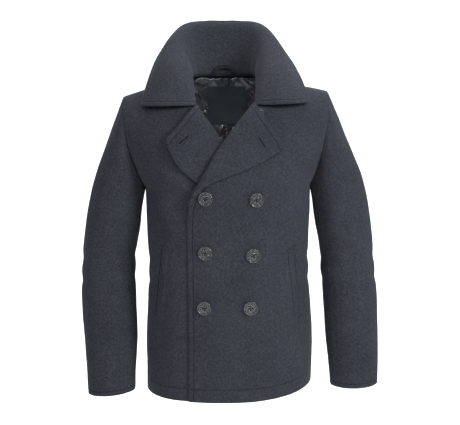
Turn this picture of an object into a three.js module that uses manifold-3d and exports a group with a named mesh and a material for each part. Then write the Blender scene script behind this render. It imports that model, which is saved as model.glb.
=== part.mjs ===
// A double-breasted pea coat in heavy melton wool, hollow, in the form that it has when worn.
// Millimetres, +Z up. The wearer faces -Y, and the wearer's left is +X.
// The origin lies midway between the two shoulders, where the wearer carries the coat.
// Each piece of cloth is a closed wall, worked out from named sizes and short tables.
import * as THREE from 'three';
import { mergeVertices } from 'three/addons/utils/BufferGeometryUtils.js';
import Module from 'manifold-3d';

const wasm = await Module();
wasm.setup();

// Cloth thicknesses and the gap that a seam keeps between two pieces
const CLOTH = 3;
const DOUBLE_CLOTH = 4.5;
const LINING = 2;
const SEAM = 0.3;
const EASE = 0.4;

// Heights of the body
const HEM_Z = -656;
const ARMPIT_Z = -208;
const NECK_SIDE_Z = 29;
const SHOULDER_SLOPE = 0.287;
const SHOULDER_ROUNDING = 50;

// Widths and depths of the body
const NECK_HALF = 72;
const NECK_BACK_Y = 76;
const SHOULDER_HALF = 220;
const YOKE_HALF = 265;
const ROUNDNESS = 2.4;
const FRONT_BOW = 2;
const BACK_BOW = 3.4;
const ARMHOLE_DEPTH = 65;
const ARMHOLE_HOLLOW = { front: 10, back: 13 };

// Level sections of the body up to the armpit
const SECTIONS = [
  { z: -660, halfWidth: 184, front: 147, back: 126 },
  { z: -560, halfWidth: 184, front: 149, back: 121 },
  { z: -470, halfWidth: 180, front: 149, back: 115 },
  { z: -380, halfWidth: 176.5, front: 148, back: 112 },
  { z: -300, halfWidth: 177, front: 148, back: 122 },
  { z: ARMPIT_Z, halfWidth: 178, front: 148, back: 136 },
];

// How far the coat leans to the wearer's left, by height
const BODY_LEAN = [
  { z: -656, x: 2 },
  { z: -560, x: 3 },
  { z: -400, x: 1 },
  { z: -300, x: 0 },
  { z: -200, x: -1 },
  { z: -110, x: -4 },
  { z: -20, x: -5.5 },
  { z: 30, x: -8 },
  { z: 75, x: -12 },
  { z: 145, x: -13.5 },
];
const SLEEVE_LEAN = [
  { z: -655, x: 10.6 },
  { z: -613, x: 9.5 },
  { z: -543, x: 7 },
  { z: -473, x: 3.8 },
  { z: -404, x: 0 },
  { z: -296, x: -1 },
  { z: -200, x: -1 },
  { z: -110, x: -4 },
  { z: -20, x: -5.5 },
  { z: 30, x: -8 },
];
const SHOULDER_TILT = 0.00012;
const HEM_TILT = 0.0003;
const HEM_SIDE_RISE = 6;

// The front edge and the roll line of each front, seen from the front, up to the neck
const LEFT_FRONT_EDGE = [
  { z: -656, x: -86 },
  { z: -400, x: -84 },
  { z: -245, x: -82 },
  { z: -215, x: -73 },
  { z: -191, x: -56 },
  { z: -146, x: -31 },
  { z: -113, x: -5 },
  { z: -72, x: 25 },
  { z: -28, x: 64 },
  { z: -4, x: 69 },
  { z: 29, x: NECK_HALF },
];
// The right front is written mirrored, so its own side is +x too
const RIGHT_FRONT_EDGE = [
  { z: -656, x: -80 },
  { z: -400, x: -80 },
  { z: -240, x: -74 },
  { z: -190, x: -50 },
  { z: -150, x: -23 },
  { z: -108, x: 7 },
  { z: -77, x: 26 },
  { z: -28, x: 64 },
  { z: -4, x: 69 },
  { z: 29, x: NECK_HALF },
];

// Heights of the rows of the body panels up to the armpit, one of them at the break of the lapels
const BREAK_Z = -232;
const LOWER_HEIGHTS = [
  HEM_Z, -628, -584, -540, -495, -450, -405, -360, -315, -272, BREAK_Z, ARMPIT_Z,
];

// Angles round the armhole, from the armpit up to the shoulder point
const ARMHOLE_ANGLES = [180, 157.5, 135, 112.5, 90, 75, 60, 45, 22.5, 11.25, 0];
const GORGE_ANGLE = 60;
const SLEEVE_FRONT_SEAM = 135;
const SLEEVE_BACK_SEAM = 247.5;

// Rings of a sleeve from the armhole to the cuff: the outer and the inner side, and the depth
const SLEEVE_RINGS = [
  { outerX: 220, outerZ: -9, innerX: 178, innerZ: ARMPIT_Z, midY: 0, depth: ARMHOLE_DEPTH, hollow: 1 },
  { outerX: 231, outerZ: -36, innerX: 180.5, innerZ: -216, midY: 0, depth: 67, hollow: 0.8 },
  { outerX: 244.5, outerZ: -70, innerX: 182.5, innerZ: -225, midY: 0, depth: 69, hollow: 0.5 },
  { outerX: 258.5, outerZ: -106, innerX: 184.5, innerZ: -235, midY: 0, depth: 69, hollow: 0.2 },
  { outerX: 273, outerZ: -142, innerX: 186.5, innerZ: -247, midY: 0, depth: 68, hollow: 0 },
  { outerX: 287, outerZ: -180, innerX: 188.5, innerZ: -261, midY: 0, depth: 67, hollow: 0 },
  { outerX: 299, outerZ: -222, innerX: 190.5, innerZ: -280, midY: 1, depth: 65.5, hollow: 0 },
  { outerX: 311, outerZ: -278, innerX: 195, innerZ: -310, midY: 2, depth: 63.5, hollow: 0 },
  { outerX: 320, outerZ: -338, innerX: 202.5, innerZ: -352, midY: 2, depth: 61, hollow: 0 },
  { outerX: 324.6, outerZ: -400, innerX: 204, innerZ: -400, midY: 0, depth: 58.5, hollow: 0 },
  { outerX: 327, outerZ: -450, innerX: 207, innerZ: -446, midY: -6, depth: 56, hollow: 0 },
  { outerX: 326, outerZ: -502, innerX: 208.5, innerZ: -496, midY: -15, depth: 52.5, hollow: 0 },
  { outerX: 324, outerZ: -556, innerX: 210, innerZ: -550, midY: -26, depth: 49, hollow: 0 },
  { outerX: 322.5, outerZ: -608, innerX: 213.5, innerZ: -603, midY: -38, depth: 46, hollow: 0 },
  { outerX: 320.5, outerZ: -653, innerX: 215.5, innerZ: -650, midY: -48, depth: 43, hollow: 0 },
];

// The collar by its share of the way from the centre back to the gorge:
// the crest that it rises over, and its outer edge
const COLLAR = [
  { s: 0, crestX: 0, crestY: 81, crestZ: 90, edgeX: 0, edgeY: 96, edgeZ: 143.5 },
  { s: 0.13, crestX: 30, crestY: 78, crestZ: 91, edgeX: 42, edgeY: 94, edgeZ: 144 },
  { s: 0.25, crestX: 56, crestY: 66, crestZ: 92, edgeX: 79, edgeY: 82, edgeZ: 139 },
  { s: 0.37, crestX: 73, crestY: 42, crestZ: 92, edgeX: 106, edgeY: 63, edgeZ: 117 },
  { s: 0.5, crestX: 85, crestY: 13, crestZ: 85, edgeX: 128, edgeY: 38, edgeZ: 85 },
  { s: 0.69, crestX: 90, crestY: -27, crestZ: 64, edgeX: 150, edgeY: 2, edgeZ: 46 },
  { s: 0.86, crestX: 94, crestY: -70, crestZ: 28, edgeX: 164, edgeY: -40, edgeZ: 8 },
  { s: 1, crestX: 102, crestY: -106, crestZ: -26, edgeX: 173.5, edgeY: -75, edgeZ: -27 },
];
const COLLAR_ROWS = [0, 0.07, 0.18, 0.34, 0.55, 0.78, 1];
const COLLAR_RISE = 8;
const COLLAR_GAP = 0.35;

// The outer edge of each lapel from its point down to the break of the roll line,
// by its share of the way down; the right lapel is written mirrored
const LEFT_LAPEL = {
  ease: 0.4,
  rollTop: 3.4,
  rollBreak: 0.6,
  lift: 2,
  edge: [
    { q: 0, x: 118, z: -114 },
    { q: 0.25, x: 66, z: -144 },
    { q: 0.5, x: 14, z: -166 },
    { q: 0.75, x: -33, z: -185 },
    { q: 0.9, x: -57, z: -202 },
    { q: 1, x: -72, z: -224 },
  ],
};
const RIGHT_LAPEL = {
  ease: 2.8,
  rollTop: 1.1,
  rollBreak: 0.6,
  lift: 6,
  edge: [
    { q: 0, x: 121, z: -100 },
    { q: 0.25, x: 97, z: -147 },
    { q: 0.5, x: 59, z: -187 },
    { q: 0.75, x: 2, z: -218 },
    { q: 1, x: -62, z: -238 },
  ],
};
const LAPEL_START = 0.08;
const LAPEL_STEP = 30;
const ROLL_ANGLES = [0, 60, 120, 180];
const LAPEL_SHARES = [0.22, 0.45, 0.7, 0.88, 1];
const TIP_ROUNDING = 3;
const LAPEL_GAP = 0.4;

// The right front lies deeper where the left front and both lapels cover it
const COVERED_DEPTH = { belowBreak: 3.6, atLapels: 13.6 };
const COVER_REACH = { belowBreak: 38, atLapels: 75 };
const COVER_MARGIN = { belowBreak: 3, atLapels: 14 };
const BREAK_BAND = { low: -268, high: -246 };

// The pocket welts, seen from the front
const WELT = { topX: 138, topZ: -331, bottomX: 154, bottomZ: -483, width: 13, thickness: 2 };

// Buttons: a turned disc with a rim, a dished face and four holes
const BUTTON_RADIUS = 15;
const BUTTON_THICKNESS = 4.2;
const HOLE_RADIUS = 1.2;
const HOLE_OFFSET = 2.6;
const BUTTONS = [
  { x: -45, z: -215.5, ease: -0.2 },
  { x: 59, z: -219, ease: 0.5 },
  { x: -47, z: -330, ease: 0.15 },
  { x: 52, z: -336, ease: 0.15 },
  { x: -51, z: -447.5, ease: 0.15 },
  { x: 45.5, z: -448.5, ease: 0.15 },
  { x: 68, z: -47, ease: 0.15 },
];

// The quilted back lining, the neck label and the hanger loop
const QUILT_PITCH = 50;
const QUILT_HEIGHT = 2.2;
const LINING_COLUMNS = [132, 112, 93, 75, 62.5, 50, 37.5, 25, 12.5, 0];
const LINING_COARSE = [-628, -520, -410, -300, -220];
const LINING_QUILT = { bottomZ: -162.5, topZ: 12.5, halfWidth: 75 };
const LINING_EASE = 4;
const LINING_TOP = 0.965;
const LINING_ROW_GAP = 3;
const LABEL = { centreX: 3, width: 88, topZ: 8, height: 93, thickness: 1 };
const LOOP = { halfSpan: 27, rise: 19, band: 10, topBand: 9, thickness: 2, z: 32, y: 62.2 };

// The largest folds: soft ridges and troughs across the cloth, between two places
const FOLDS = [
  { name: 'right elbow, upper', from: [-196, -25, -372], to: [-262, -58, -392], width: 20, height: -6 },
  { name: 'right elbow, lower', from: [-196, -25, -424], to: [-258, -60, -412], width: 18, height: -6 },
  { name: 'left elbow, upper', from: [196, -20, -366], to: [262, -60, -392], width: 20, height: -5 },
  { name: 'left elbow, lower', from: [200, -25, -430], to: [262, -60, -420], width: 18, height: -5 },
  { name: 'right chest drag', from: [-150, -95, -150], to: [-70, -146, -225], width: 26, height: 4 },
  { name: 'left chest drag', from: [165, -75, -205], to: [85, -142, -262], width: 26, height: 4 },
];

const WOOL = { color: 0x2f343b, roughness: 0.95, metalness: 0 };
const SATIN = { color: 0x14161a, roughness: 0.4, metalness: 0 };
const WOVEN = { color: 0x101214, roughness: 0.8, metalness: 0 };
const PLASTIC = { color: 0x2a2c2e, roughness: 0.35, metalness: 0 };

const degrees = (angle) => (angle * Math.PI) / 180;
const mix = (a, b, share) => a + (b - a) * share;
const smooth = (share) => {
  const held = Math.min(1, Math.max(0, share));
  return held * held * (3 - 2 * held);
};

// A column of a table at a place between its rows, on a smooth curve through them
function lookUp(table, key, at, column) {
  const last = table.length - 1;
  if (at <= table[0][key]) return table[0][column];
  if (at >= table[last][key]) return table[last][column];
  let i = 0;
  while (at > table[i + 1][key]) i += 1;
  const slope = (k) => {
    const low = table[Math.max(0, k - 1)];
    const high = table[Math.min(last, k + 1)];
    return (high[column] - low[column]) / (high[key] - low[key]);
  };
  const width = table[i + 1][key] - table[i][key];
  const t = (at - table[i][key]) / width;
  return (
    table[i][column] * (1 + 2 * t) * (1 - t) ** 2 +
    table[i + 1][column] * t * t * (3 - 2 * t) +
    slope(i) * width * t * (1 - t) ** 2 -
    slope(i + 1) * width * t * t * (1 - t)
  );
}

const shoulderRidge = (x) => SHOULDER_SLOPE * Math.hypot(x, SHOULDER_ROUNDING);
const shoulderZ = (x) => NECK_SIDE_Z + shoulderRidge(NECK_HALF) - shoulderRidge(x);

// Half-width of the body at a level: 0 at the hem, 1 at the armpit, 2 at the shoulder
function halfWidthAt(level) {
  const z = mix(HEM_Z, ARMPIT_Z, Math.min(level, 1));
  const rise = Math.max(level - 1, 0);
  return mix(lookUp(SECTIONS, 'z', z, 'halfWidth'), YOKE_HALF, rise * (1.5 - 0.5 * rise));
}

// A point of the body's outer face; the angle is 0 at the left side and 90 degrees at centre front
function body(angle, level) {
  const across = Math.sign(Math.cos(angle)) * Math.abs(Math.cos(angle)) ** (2 / ROUNDNESS);
  const deep = Math.abs(Math.sin(angle)) ** (2 / ROUNDNESS);
  const front = Math.sin(angle) >= 0;
  const z = mix(HEM_Z, ARMPIT_Z, Math.min(level, 1));
  const depth = front ? -lookUp(SECTIONS, 'z', z, 'front') : lookUp(SECTIONS, 'z', z, 'back');
  const x = halfWidthAt(level) * across;
  const hemRise = HEM_SIDE_RISE * across * across * Math.max(0, 1 - level) ** 2;
  if (level <= 1) return new THREE.Vector3(x, depth * deep, z + hemRise);
  const rise = Math.min(level - 1, 1);
  const bow = front ? FRONT_BOW : BACK_BOW;
  const closing = (1 - rise ** bow) ** (1 / bow);
  return new THREE.Vector3(x, depth * deep * closing, mix(ARMPIT_Z, shoulderZ(x), rise));
}

function angleAt(x, level) {
  const share = Math.min(1, Math.abs(x) / halfWidthAt(level));
  return Math.acos(Math.sign(x) * share ** (ROUNDNESS / 2));
}

// The outward direction of the body's face
function bodyNormal(angle, level) {
  const step = 0.004;
  const round = body(angle + step, level).sub(body(angle - step, level));
  const upTo = Math.min(level + step, 2);
  const up = body(angle, upTo).sub(body(angle, level - step));
  const normal = new THREE.Vector3().crossVectors(up, round).normalize();
  const outward = new THREE.Vector3(Math.cos(angle), -Math.sin(angle), 0.5);
  if (normal.dot(outward) < 0) normal.negate();
  if (level >= 2) normal.setY(0).normalize();
  return normal;
}

// The armhole: its angle is 0 at the shoulder point and 180 degrees at the armpit
function armhole(angle, front) {
  const top = SLEEVE_RINGS[0];
  const hollow = front ? ARMHOLE_HOLLOW.front : ARMHOLE_HOLLOW.back;
  const side = front ? -1 : 1;
  const c = Math.cos(angle);
  const s = Math.abs(Math.sin(angle));
  return new THREE.Vector3(
    mix(top.innerX, top.outerX, (1 + c) / 2) + hollow * s * s,
    side * ARMHOLE_DEPTH * s,
    mix(top.innerZ, top.outerZ, (1 + c) / 2),
  );
}

// The direction in which both walls end at the armhole, square to its axis
function armholeOut(point) {
  const top = SLEEVE_RINGS[0];
  return new THREE.Vector3(0, point.y, point.z - (top.innerZ + top.outerZ) / 2).normalize();
}

// Rows of the body panels, hem to shoulder
const PANEL_ROWS = LOWER_HEIGHTS.map((z) => ({
  level: (z - HEM_Z) / (ARMPIT_Z - HEM_Z),
  angle: degrees(180),
}));
for (const step of ARMHOLE_ANGLES.slice(1)) {
  PANEL_ROWS.push({ level: 1 + (1 + Math.cos(degrees(step))) / 2, angle: degrees(step) });
}

// Places a point of a mirrored or unmirrored half in the coat's own lean and tilt
function settle(point, side, lean = BODY_LEAN) {
  const x = side * point.x + lookUp(lean, 'z', point.z, 'x');
  const hemShare = lean === BODY_LEAN ? smooth((-300 - point.z) / 300) : 0;
  const tilt = mix(SHOULDER_TILT, HEM_TILT, hemShare);
  return new THREE.Vector3(x, point.y, point.z + tilt * x * Math.abs(x));
}

function foldHeight(point) {
  let height = 0;
  for (const fold of FOLDS) {
    const from = new THREE.Vector3(...fold.from);
    const line = new THREE.Line3(from, new THREE.Vector3(...fold.to));
    const nearest = line.closestPointToPoint(point, true, new THREE.Vector3());
    height += fold.height * Math.exp(-((nearest.distanceTo(point) / fold.width) ** 2));
  }
  return height;
}

// One cell of a wall: a point, its outward direction, its offset, thickness and share of the folds
const cell = (point, normal, more = {}) => ({
  point,
  normal,
  offset: 0,
  thickness: CLOTH,
  folds: 0,
  ...more,
});

// Closes a grid of cells into one wall with an outer face, an inner face and its rims
function wall(name, grid, look, { side = 1, lean = BODY_LEAN } = {}) {
  const rows = grid.length;
  const columns = grid[0].length;
  const outer = [];
  const inner = [];
  for (const row of grid) {
    for (const { point, normal, offset, thickness, folds } of row) {
      const placed = settle(point, side, lean);
      const out = new THREE.Vector3(side * normal.x, normal.y, normal.z);
      const fold = folds > 0 ? folds * foldHeight(placed) : 0;
      const face = placed.clone().addScaledVector(out, offset + fold);
      outer.push(face);
      inner.push(face.clone().addScaledVector(out, -thickness));
    }
  }
  const positions = [...outer, ...inner].flatMap((p) => [p.x, p.y, p.z]);
  const at = (r, c, isInner) => (isInner ? rows * columns : 0) + r * columns + c;
  const index = [];
  const quad = (a, b, c, d) => index.push(a, b, c, a, c, d);
  for (let r = 0; r < rows - 1; r += 1) {
    for (let c = 0; c < columns - 1; c += 1) {
      quad(at(r, c), at(r, c + 1), at(r + 1, c + 1), at(r + 1, c));
      quad(at(r, c, true), at(r + 1, c, true), at(r + 1, c + 1, true), at(r, c + 1, true));
    }
  }
  for (let c = 0; c < columns - 1; c += 1) {
    quad(at(0, c), at(0, c, true), at(0, c + 1, true), at(0, c + 1));
    const end = rows - 1;
    quad(at(end, c), at(end, c + 1), at(end, c + 1, true), at(end, c, true));
  }
  for (let r = 0; r < rows - 1; r += 1) {
    quad(at(r, 0), at(r + 1, 0), at(r + 1, 0, true), at(r, 0, true));
    const end = columns - 1;
    quad(at(r, end), at(r, end, true), at(r + 1, end, true), at(r + 1, end));
  }
  const geometry = new THREE.BufferGeometry();
  geometry.setAttribute('position', new THREE.Float32BufferAttribute(positions, 3));
  geometry.setIndex(volume(positions, index) < 0 ? index.reverse() : index);
  return piece(name, geometry, look);
}

function volume(positions, index) {
  const point = (i) => new THREE.Vector3().fromArray(positions, 3 * i);
  let sum = 0;
  for (let i = 0; i < index.length; i += 3) {
    sum += point(index[i]).dot(point(index[i + 1]).cross(point(index[i + 2])));
  }
  return sum / 6;
}

function piece(name, geometry, look) {
  const mesh = new THREE.Mesh(geometry, new THREE.MeshStandardMaterial(look));
  mesh.name = name;
  return mesh;
}

// The fronts, from the front edge or roll line to the side seam and the armhole
const FRONT_COLUMNS = 12;

function frontEdgeX(table, level) {
  if (level <= 1) return lookUp(table, 'z', mix(HEM_Z, ARMPIT_Z, level), 'x');
  let x = 0;
  for (let i = 0; i < 4; i += 1) {
    x = lookUp(table, 'z', mix(ARMPIT_Z, shoulderZ(x), level - 1), 'x');
  }
  return x;
}

// How much deeper the right front lies at a place that the left front covers
function coveredDepth(point) {
  const leftEdge = -lookUp(LEFT_FRONT_EDGE, 'z', point.z, 'x');
  const high = smooth((point.z - BREAK_BAND.low) / (BREAK_BAND.high - BREAK_BAND.low));
  const reach = mix(COVER_REACH.belowBreak, COVER_REACH.atLapels, high);
  const margin = mix(COVER_MARGIN.belowBreak, COVER_MARGIN.atLapels, high);
  const covered = smooth((reach - (point.x - leftEdge)) / (reach - margin));
  return covered * mix(COVERED_DEPTH.belowBreak, COVERED_DEPTH.atLapels, high);
}

function frontGrid(edge, depthAt) {
  return PANEL_ROWS.map(({ level, angle }) => {
    const upper = level > 1;
    const arm = armhole(angle, true);
    const outerAngle = upper ? angleAt(arm.x, level) : 0;
    const innerAngle = angleAt(frontEdgeX(edge, level), level);
    const pull = upper ? arm.clone().sub(body(outerAngle, level)) : new THREE.Vector3();
    const row = [];
    for (let c = 0; c <= FRONT_COLUMNS; c += 1) {
      const share = c / FRONT_COLUMNS;
      const at = mix(innerAngle, outerAngle, share);
      const point = body(at, level).addScaledVector(pull, share ** 3);
      let normal = bodyNormal(at, level);
      if (c === FRONT_COLUMNS && level >= 1) {
        normal = armholeOut(arm);
        point.x -= SEAM / 2;
      }
      if ((c === FRONT_COLUMNS && level <= 1) || level >= 2) point.y -= SEAM / 2;
      const folds = level >= 2 ? 0 : smooth(share * 6) * smooth((1 - share) * 5);
      row.push(cell(point, normal, { offset: -depthAt(point), folds }));
    }
    return row;
  });
}

const leftFrontGrid = frontGrid(LEFT_FRONT_EDGE, () => 0);
const rightFrontGrid = frontGrid(RIGHT_FRONT_EDGE, coveredDepth);

// The back, one piece from side seam to side seam, cut out for the neck
const SHOULDER_COLUMNS = 6;
const NECK_ANGLES = [30, 55, 75, 90];

function backShares() {
  const armAngle = angleAt(SHOULDER_HALF, 2);
  const shareOf = (x) => (angleAt(x, 2) - armAngle) / (degrees(90) - armAngle);
  const neckShare = shareOf(NECK_HALF);
  const shares = [];
  for (let i = 0; i <= SHOULDER_COLUMNS; i += 1) shares.push((neckShare * i) / SHOULDER_COLUMNS);
  for (const angle of NECK_ANGLES) shares.push(shareOf(NECK_HALF * Math.cos(degrees(angle))));
  return shares;
}

// The share of the rise above the armpit at which the back ends, lower inside the neck
function neckTop(x, angle) {
  if (Math.abs(x) >= NECK_HALF - 0.001) return 1;
  const y = NECK_BACK_Y * Math.sqrt(1 - (x / NECK_HALF) ** 2);
  const depth = lookUp(SECTIONS, 'z', ARMPIT_Z, 'back') * Math.abs(Math.sin(angle)) ** (2 / ROUNDNESS);
  return (1 - (y / depth) ** BACK_BOW) ** (1 / BACK_BOW);
}

function backHalfRow({ level, angle }) {
  const upper = level > 1;
  const arm = armhole(angle, false);
  const outerAngle = upper ? angleAt(arm.x, level) : 0;
  const pull = upper ? arm.clone().sub(body(-outerAngle, level)) : new THREE.Vector3();
  return backShares().map((share) => {
    const at = -mix(outerAngle, degrees(90), share);
    const x = body(at, level).x;
    const top = neckTop(x, at);
    const lowered = upper ? 1 + (level - 1) * top : level;
    const point = body(at, lowered).addScaledVector(pull, (1 - share) ** 3);
    let normal = bodyNormal(at, lowered);
    if (share === 0 && level >= 1) {
      normal = armholeOut(arm);
      point.x -= SEAM / 2;
    }
    if ((share === 0 && level <= 1) || lowered >= 2) point.y += SEAM / 2;
    return cell(point, normal, { folds: level >= 2 ? 0 : smooth(share * 4) });
  });
}

const mirrored = ({ point, normal, ...rest }) => ({
  ...rest,
  point: new THREE.Vector3(-point.x, point.y, point.z),
  normal: new THREE.Vector3(-normal.x, normal.y, normal.z),
});

const backHalf = PANEL_ROWS.map(backHalfRow);
const backGrid = backHalf.map((row) => [...row, ...row.slice(0, -1).reverse().map(mirrored)]);

// The sleeves: closed rings, cut into a top sleeve and an under sleeve
const RING_ANGLES = [
  ...[...ARMHOLE_ANGLES].reverse(),
  ...ARMHOLE_ANGLES.slice(1, -1).map((angle) => 360 - angle),
];

function sleevePoint(ring, angle) {
  const c = Math.cos(angle);
  const s = Math.sin(angle);
  const hollow = s > 0 ? ARMHOLE_HOLLOW.front : ARMHOLE_HOLLOW.back;
  return new THREE.Vector3(
    mix(ring.innerX, ring.outerX, (1 + c) / 2) + ring.hollow * hollow * s * s,
    ring.midY - ring.depth * s,
    mix(ring.innerZ, ring.outerZ, (1 + c) / 2),
  );
}

function sleeveGrid(angles) {
  const last = SLEEVE_RINGS.length - 1;
  return SLEEVE_RINGS.map((ring, r) => {
    const centre = sleevePoint(ring, 0).add(sleevePoint(ring, Math.PI)).multiplyScalar(0.5);
    return angles.map((degree, i) => {
      const angle = degrees(degree);
      const point = sleevePoint(ring, angle);
      const round = sleevePoint(ring, angle + 0.01).sub(sleevePoint(ring, angle - 0.01)).normalize();
      const above = sleevePoint(SLEEVE_RINGS[Math.max(0, r - 1)], angle);
      const below = sleevePoint(SLEEVE_RINGS[Math.min(last, r + 1)], angle);
      const normal = new THREE.Vector3().crossVectors(round, below.sub(above)).normalize();
      if (normal.dot(point.clone().sub(centre)) < 0) normal.negate();
      if (i === 0) point.addScaledVector(round, SEAM / 2);
      if (i === angles.length - 1) point.addScaledVector(round, -SEAM / 2);
      if (r === 0) {
        normal.copy(armholeOut(sleevePoint(ring, angle)));
        point.x += SEAM / 2;
      }
      return cell(point, normal, { folds: Math.min(1, r / 2) });
    });
  });
}

const frontSeamAt = RING_ANGLES.indexOf(SLEEVE_FRONT_SEAM);
const backSeamAt = RING_ANGLES.indexOf(SLEEVE_BACK_SEAM);
const underAngles = RING_ANGLES.slice(frontSeamAt, backSeamAt + 1);
const topAngles = [
  ...RING_ANGLES.slice(backSeamAt).map((angle) => angle - 360),
  ...RING_ANGLES.slice(0, frontSeamAt + 1),
];

const GORGE_ROW = LOWER_HEIGHTS.length - 1 + ARMHOLE_ANGLES.indexOf(GORGE_ANGLE);
const BREAK_ROW = LOWER_HEIGHTS.indexOf(BREAK_Z);

// The seam round the neck, from the gorge of the left front to the centre back
function neckSeam() {
  const front = leftFrontGrid.slice(GORGE_ROW).map((row) => row[0]);
  const back = backHalf.at(-1).slice(SHOULDER_COLUMNS + 1);
  return [...front, ...back].reverse();
}

// A collar half from the centre back to the gorge: each line rises from the seam over its crest
function collarHalf() {
  const seam = neckSeam();
  const stations = [];
  seam.forEach(({ point, normal }, i) => {
    stations.push({ point: point.clone(), normal: normal.clone() });
    if (i === seam.length - 1) return;
    const next = seam[i + 1];
    stations.push({
      point: point.clone().lerp(next.point, 0.5),
      normal: normal.clone().add(next.normal).normalize(),
    });
  });
  let walked = 0;
  stations.forEach((station, i) => {
    if (i > 0) walked += station.point.distanceTo(stations[i - 1].point);
    station.walked = walked;
  });
  const lines = stations.map((station, i) => {
    const s = station.walked / walked;
    const before = stations[Math.max(0, i - 1)].point;
    const after = stations[Math.min(stations.length - 1, i + 1)].point;
    const along = after.clone().sub(before).normalize();
    if (i === 0) along.set(1, 0, 0);
    const inward = new THREE.Vector3().crossVectors(station.normal, along).normalize();
    if (inward.dot(new THREE.Vector3(-station.point.x, -station.point.y, 60)) < 0) inward.negate();
    const start = station.point.clone().addScaledVector(inward, COLLAR_GAP);
    const rise = start.clone().addScaledVector(inward, COLLAR_RISE);
    const value = (name) => lookUp(COLLAR, 's', s, name);
    const crest = new THREE.Vector3(value('crestX'), value('crestY'), value('crestZ'));
    const edge = new THREE.Vector3(value('edgeX'), value('edgeY'), value('edgeZ'));
    const control = crest.clone().multiplyScalar(8).sub(start).addScaledVector(rise, -3).sub(edge);
    control.multiplyScalar(1 / 3);
    const curve = new THREE.CubicBezierCurve3(start, rise, control, edge);
    return COLLAR_ROWS.map((t) => ({
      point: curve.getPoint(t),
      tangent: t === 0 ? inward.clone() : curve.getTangent(t),
      seamNormal: t === 0 ? station.normal : null,
    }));
  });
  return lines.map((line, i) =>
    line.map(({ point, tangent, seamNormal }, r) => {
      const before = lines[Math.max(0, i - 1)][r].point;
      const after = lines[Math.min(lines.length - 1, i + 1)][r].point;
      const along = i === 0 ? new THREE.Vector3(1, 0, 0) : after.clone().sub(before).normalize();
      const out = new THREE.Vector3().crossVectors(along, tangent).normalize();
      if (seamNormal) out.copy(seamNormal).negate();
      const face = point.clone().addScaledVector(out, DOUBLE_CLOTH);
      return cell(face, out, { thickness: DOUBLE_CLOTH });
    }),
  );
}

const collarRight = collarHalf();
const collarGrid = [...collarRight.slice(1).reverse().map((line) => line.map(mirrored)), ...collarRight];

// A point on the body's outer face, found by its place seen from the front or from the back
function faceAt(x, z, side) {
  const below = (z - HEM_Z) / (ARMPIT_Z - HEM_Z);
  const above = 1 + (z - ARMPIT_Z) / (shoulderZ(x) - ARMPIT_Z);
  const level = z <= ARMPIT_Z ? below : above;
  const angle = side * angleAt(x, level);
  return { point: body(angle, level), normal: bodyNormal(angle, level) };
}

const frontAt = (x, z) => faceAt(x, z, 1);
const backAt = (x, z) => faceAt(x, z, -1);

// A lapel's root runs down the front's edge, from the gorge to the break
function lapelRoots(front) {
  const line = front.slice(BREAK_ROW, GORGE_ROW + 1).reverse().map((row) => {
    const { point, normal, offset } = row[0];
    return { point: point.clone().addScaledVector(normal, offset), normal };
  });
  const between = (a, b, share) => ({
    point: a.point.clone().lerp(b.point, share),
    normal: a.normal.clone().lerp(b.normal, share).normalize(),
  });
  const roots = [];
  line.slice(0, -1).forEach((root, i) => {
    const next = line[i + 1];
    const parts = root.point.distanceTo(next.point) > LAPEL_STEP ? 2 : 1;
    for (let part = 0; part < parts; part += 1) roots.push(between(root, next, part / parts));
  });
  roots.push(line.at(-1));
  roots[0] = between(line[0], line[1], LAPEL_START);
  return roots;
}

// A lapel rolls over the front's edge and lies on the front out to its own edge
function lapelGrid(lapel, front, depthAt) {
  const roots = lapelRoots(front);
  const topZ = roots[0].point.z;
  return roots.map((root, r) => {
    const q = (root.point.z - topZ) / (roots.at(-1).point.z - topZ);
    const before = roots[Math.max(0, r - 1)].point;
    const after = roots[Math.min(roots.length - 1, r + 1)].point;
    const along = after.clone().sub(before).normalize();
    const inward = new THREE.Vector3().crossVectors(along, root.normal).normalize();
    if (inward.x > 0) inward.negate();
    const radius = mix(lapel.rollTop, lapel.rollBreak, q ** 1.4);
    const start = root.point.clone().addScaledVector(inward, LAPEL_GAP);
    const hub = start.clone().addScaledVector(root.normal, radius);
    const row = ROLL_ANGLES.map((degree) => {
      const turn = degrees(degree);
      const out = root.normal.clone().multiplyScalar(-Math.cos(turn));
      out.addScaledVector(inward, Math.sin(turn));
      const thickness = mix(CLOTH, DOUBLE_CLOTH, degree / 180);
      const point = hub.clone().addScaledVector(out, radius + thickness);
      return cell(point, out, { thickness });
    });
    const edgeX = lookUp(lapel.edge, 'q', q, 'x');
    const edgeZ = lookUp(lapel.edge, 'q', q, 'z');
    for (const share of LAPEL_SHARES) {
      const corner = r === 0 && share === 1 ? TIP_ROUNDING : 0;
      const x = mix(root.point.x, edgeX, share) - corner;
      const flap = frontAt(x, mix(root.point.z, edgeZ, share) + corner / 2);
      const lift = lapel.ease + lapel.lift * share * share * Math.max(0, 1 - 2 * q);
      const offset = 2 * radius + lift - depthAt(flap.point) + DOUBLE_CLOTH;
      row.push(cell(flap.point, flap.normal, { offset, thickness: DOUBLE_CLOTH }));
    }
    return row;
  });
}

// A welt is a narrow strip on the front beside the pocket's slit
function weltGrid() {
  const rows = [];
  const steps = 6;
  for (let r = 0; r <= steps; r += 1) {
    const z = mix(WELT.topZ, WELT.bottomZ, r / steps);
    const x = mix(WELT.topX, WELT.bottomX, r / steps);
    rows.push([0, 0.5, 1].map((share) => {
      const { point, normal } = frontAt(x - WELT.width * share, z);
      return cell(point, normal, { offset: EASE + WELT.thickness, thickness: WELT.thickness, folds: 1 });
    }));
  }
  return rows;
}

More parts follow.
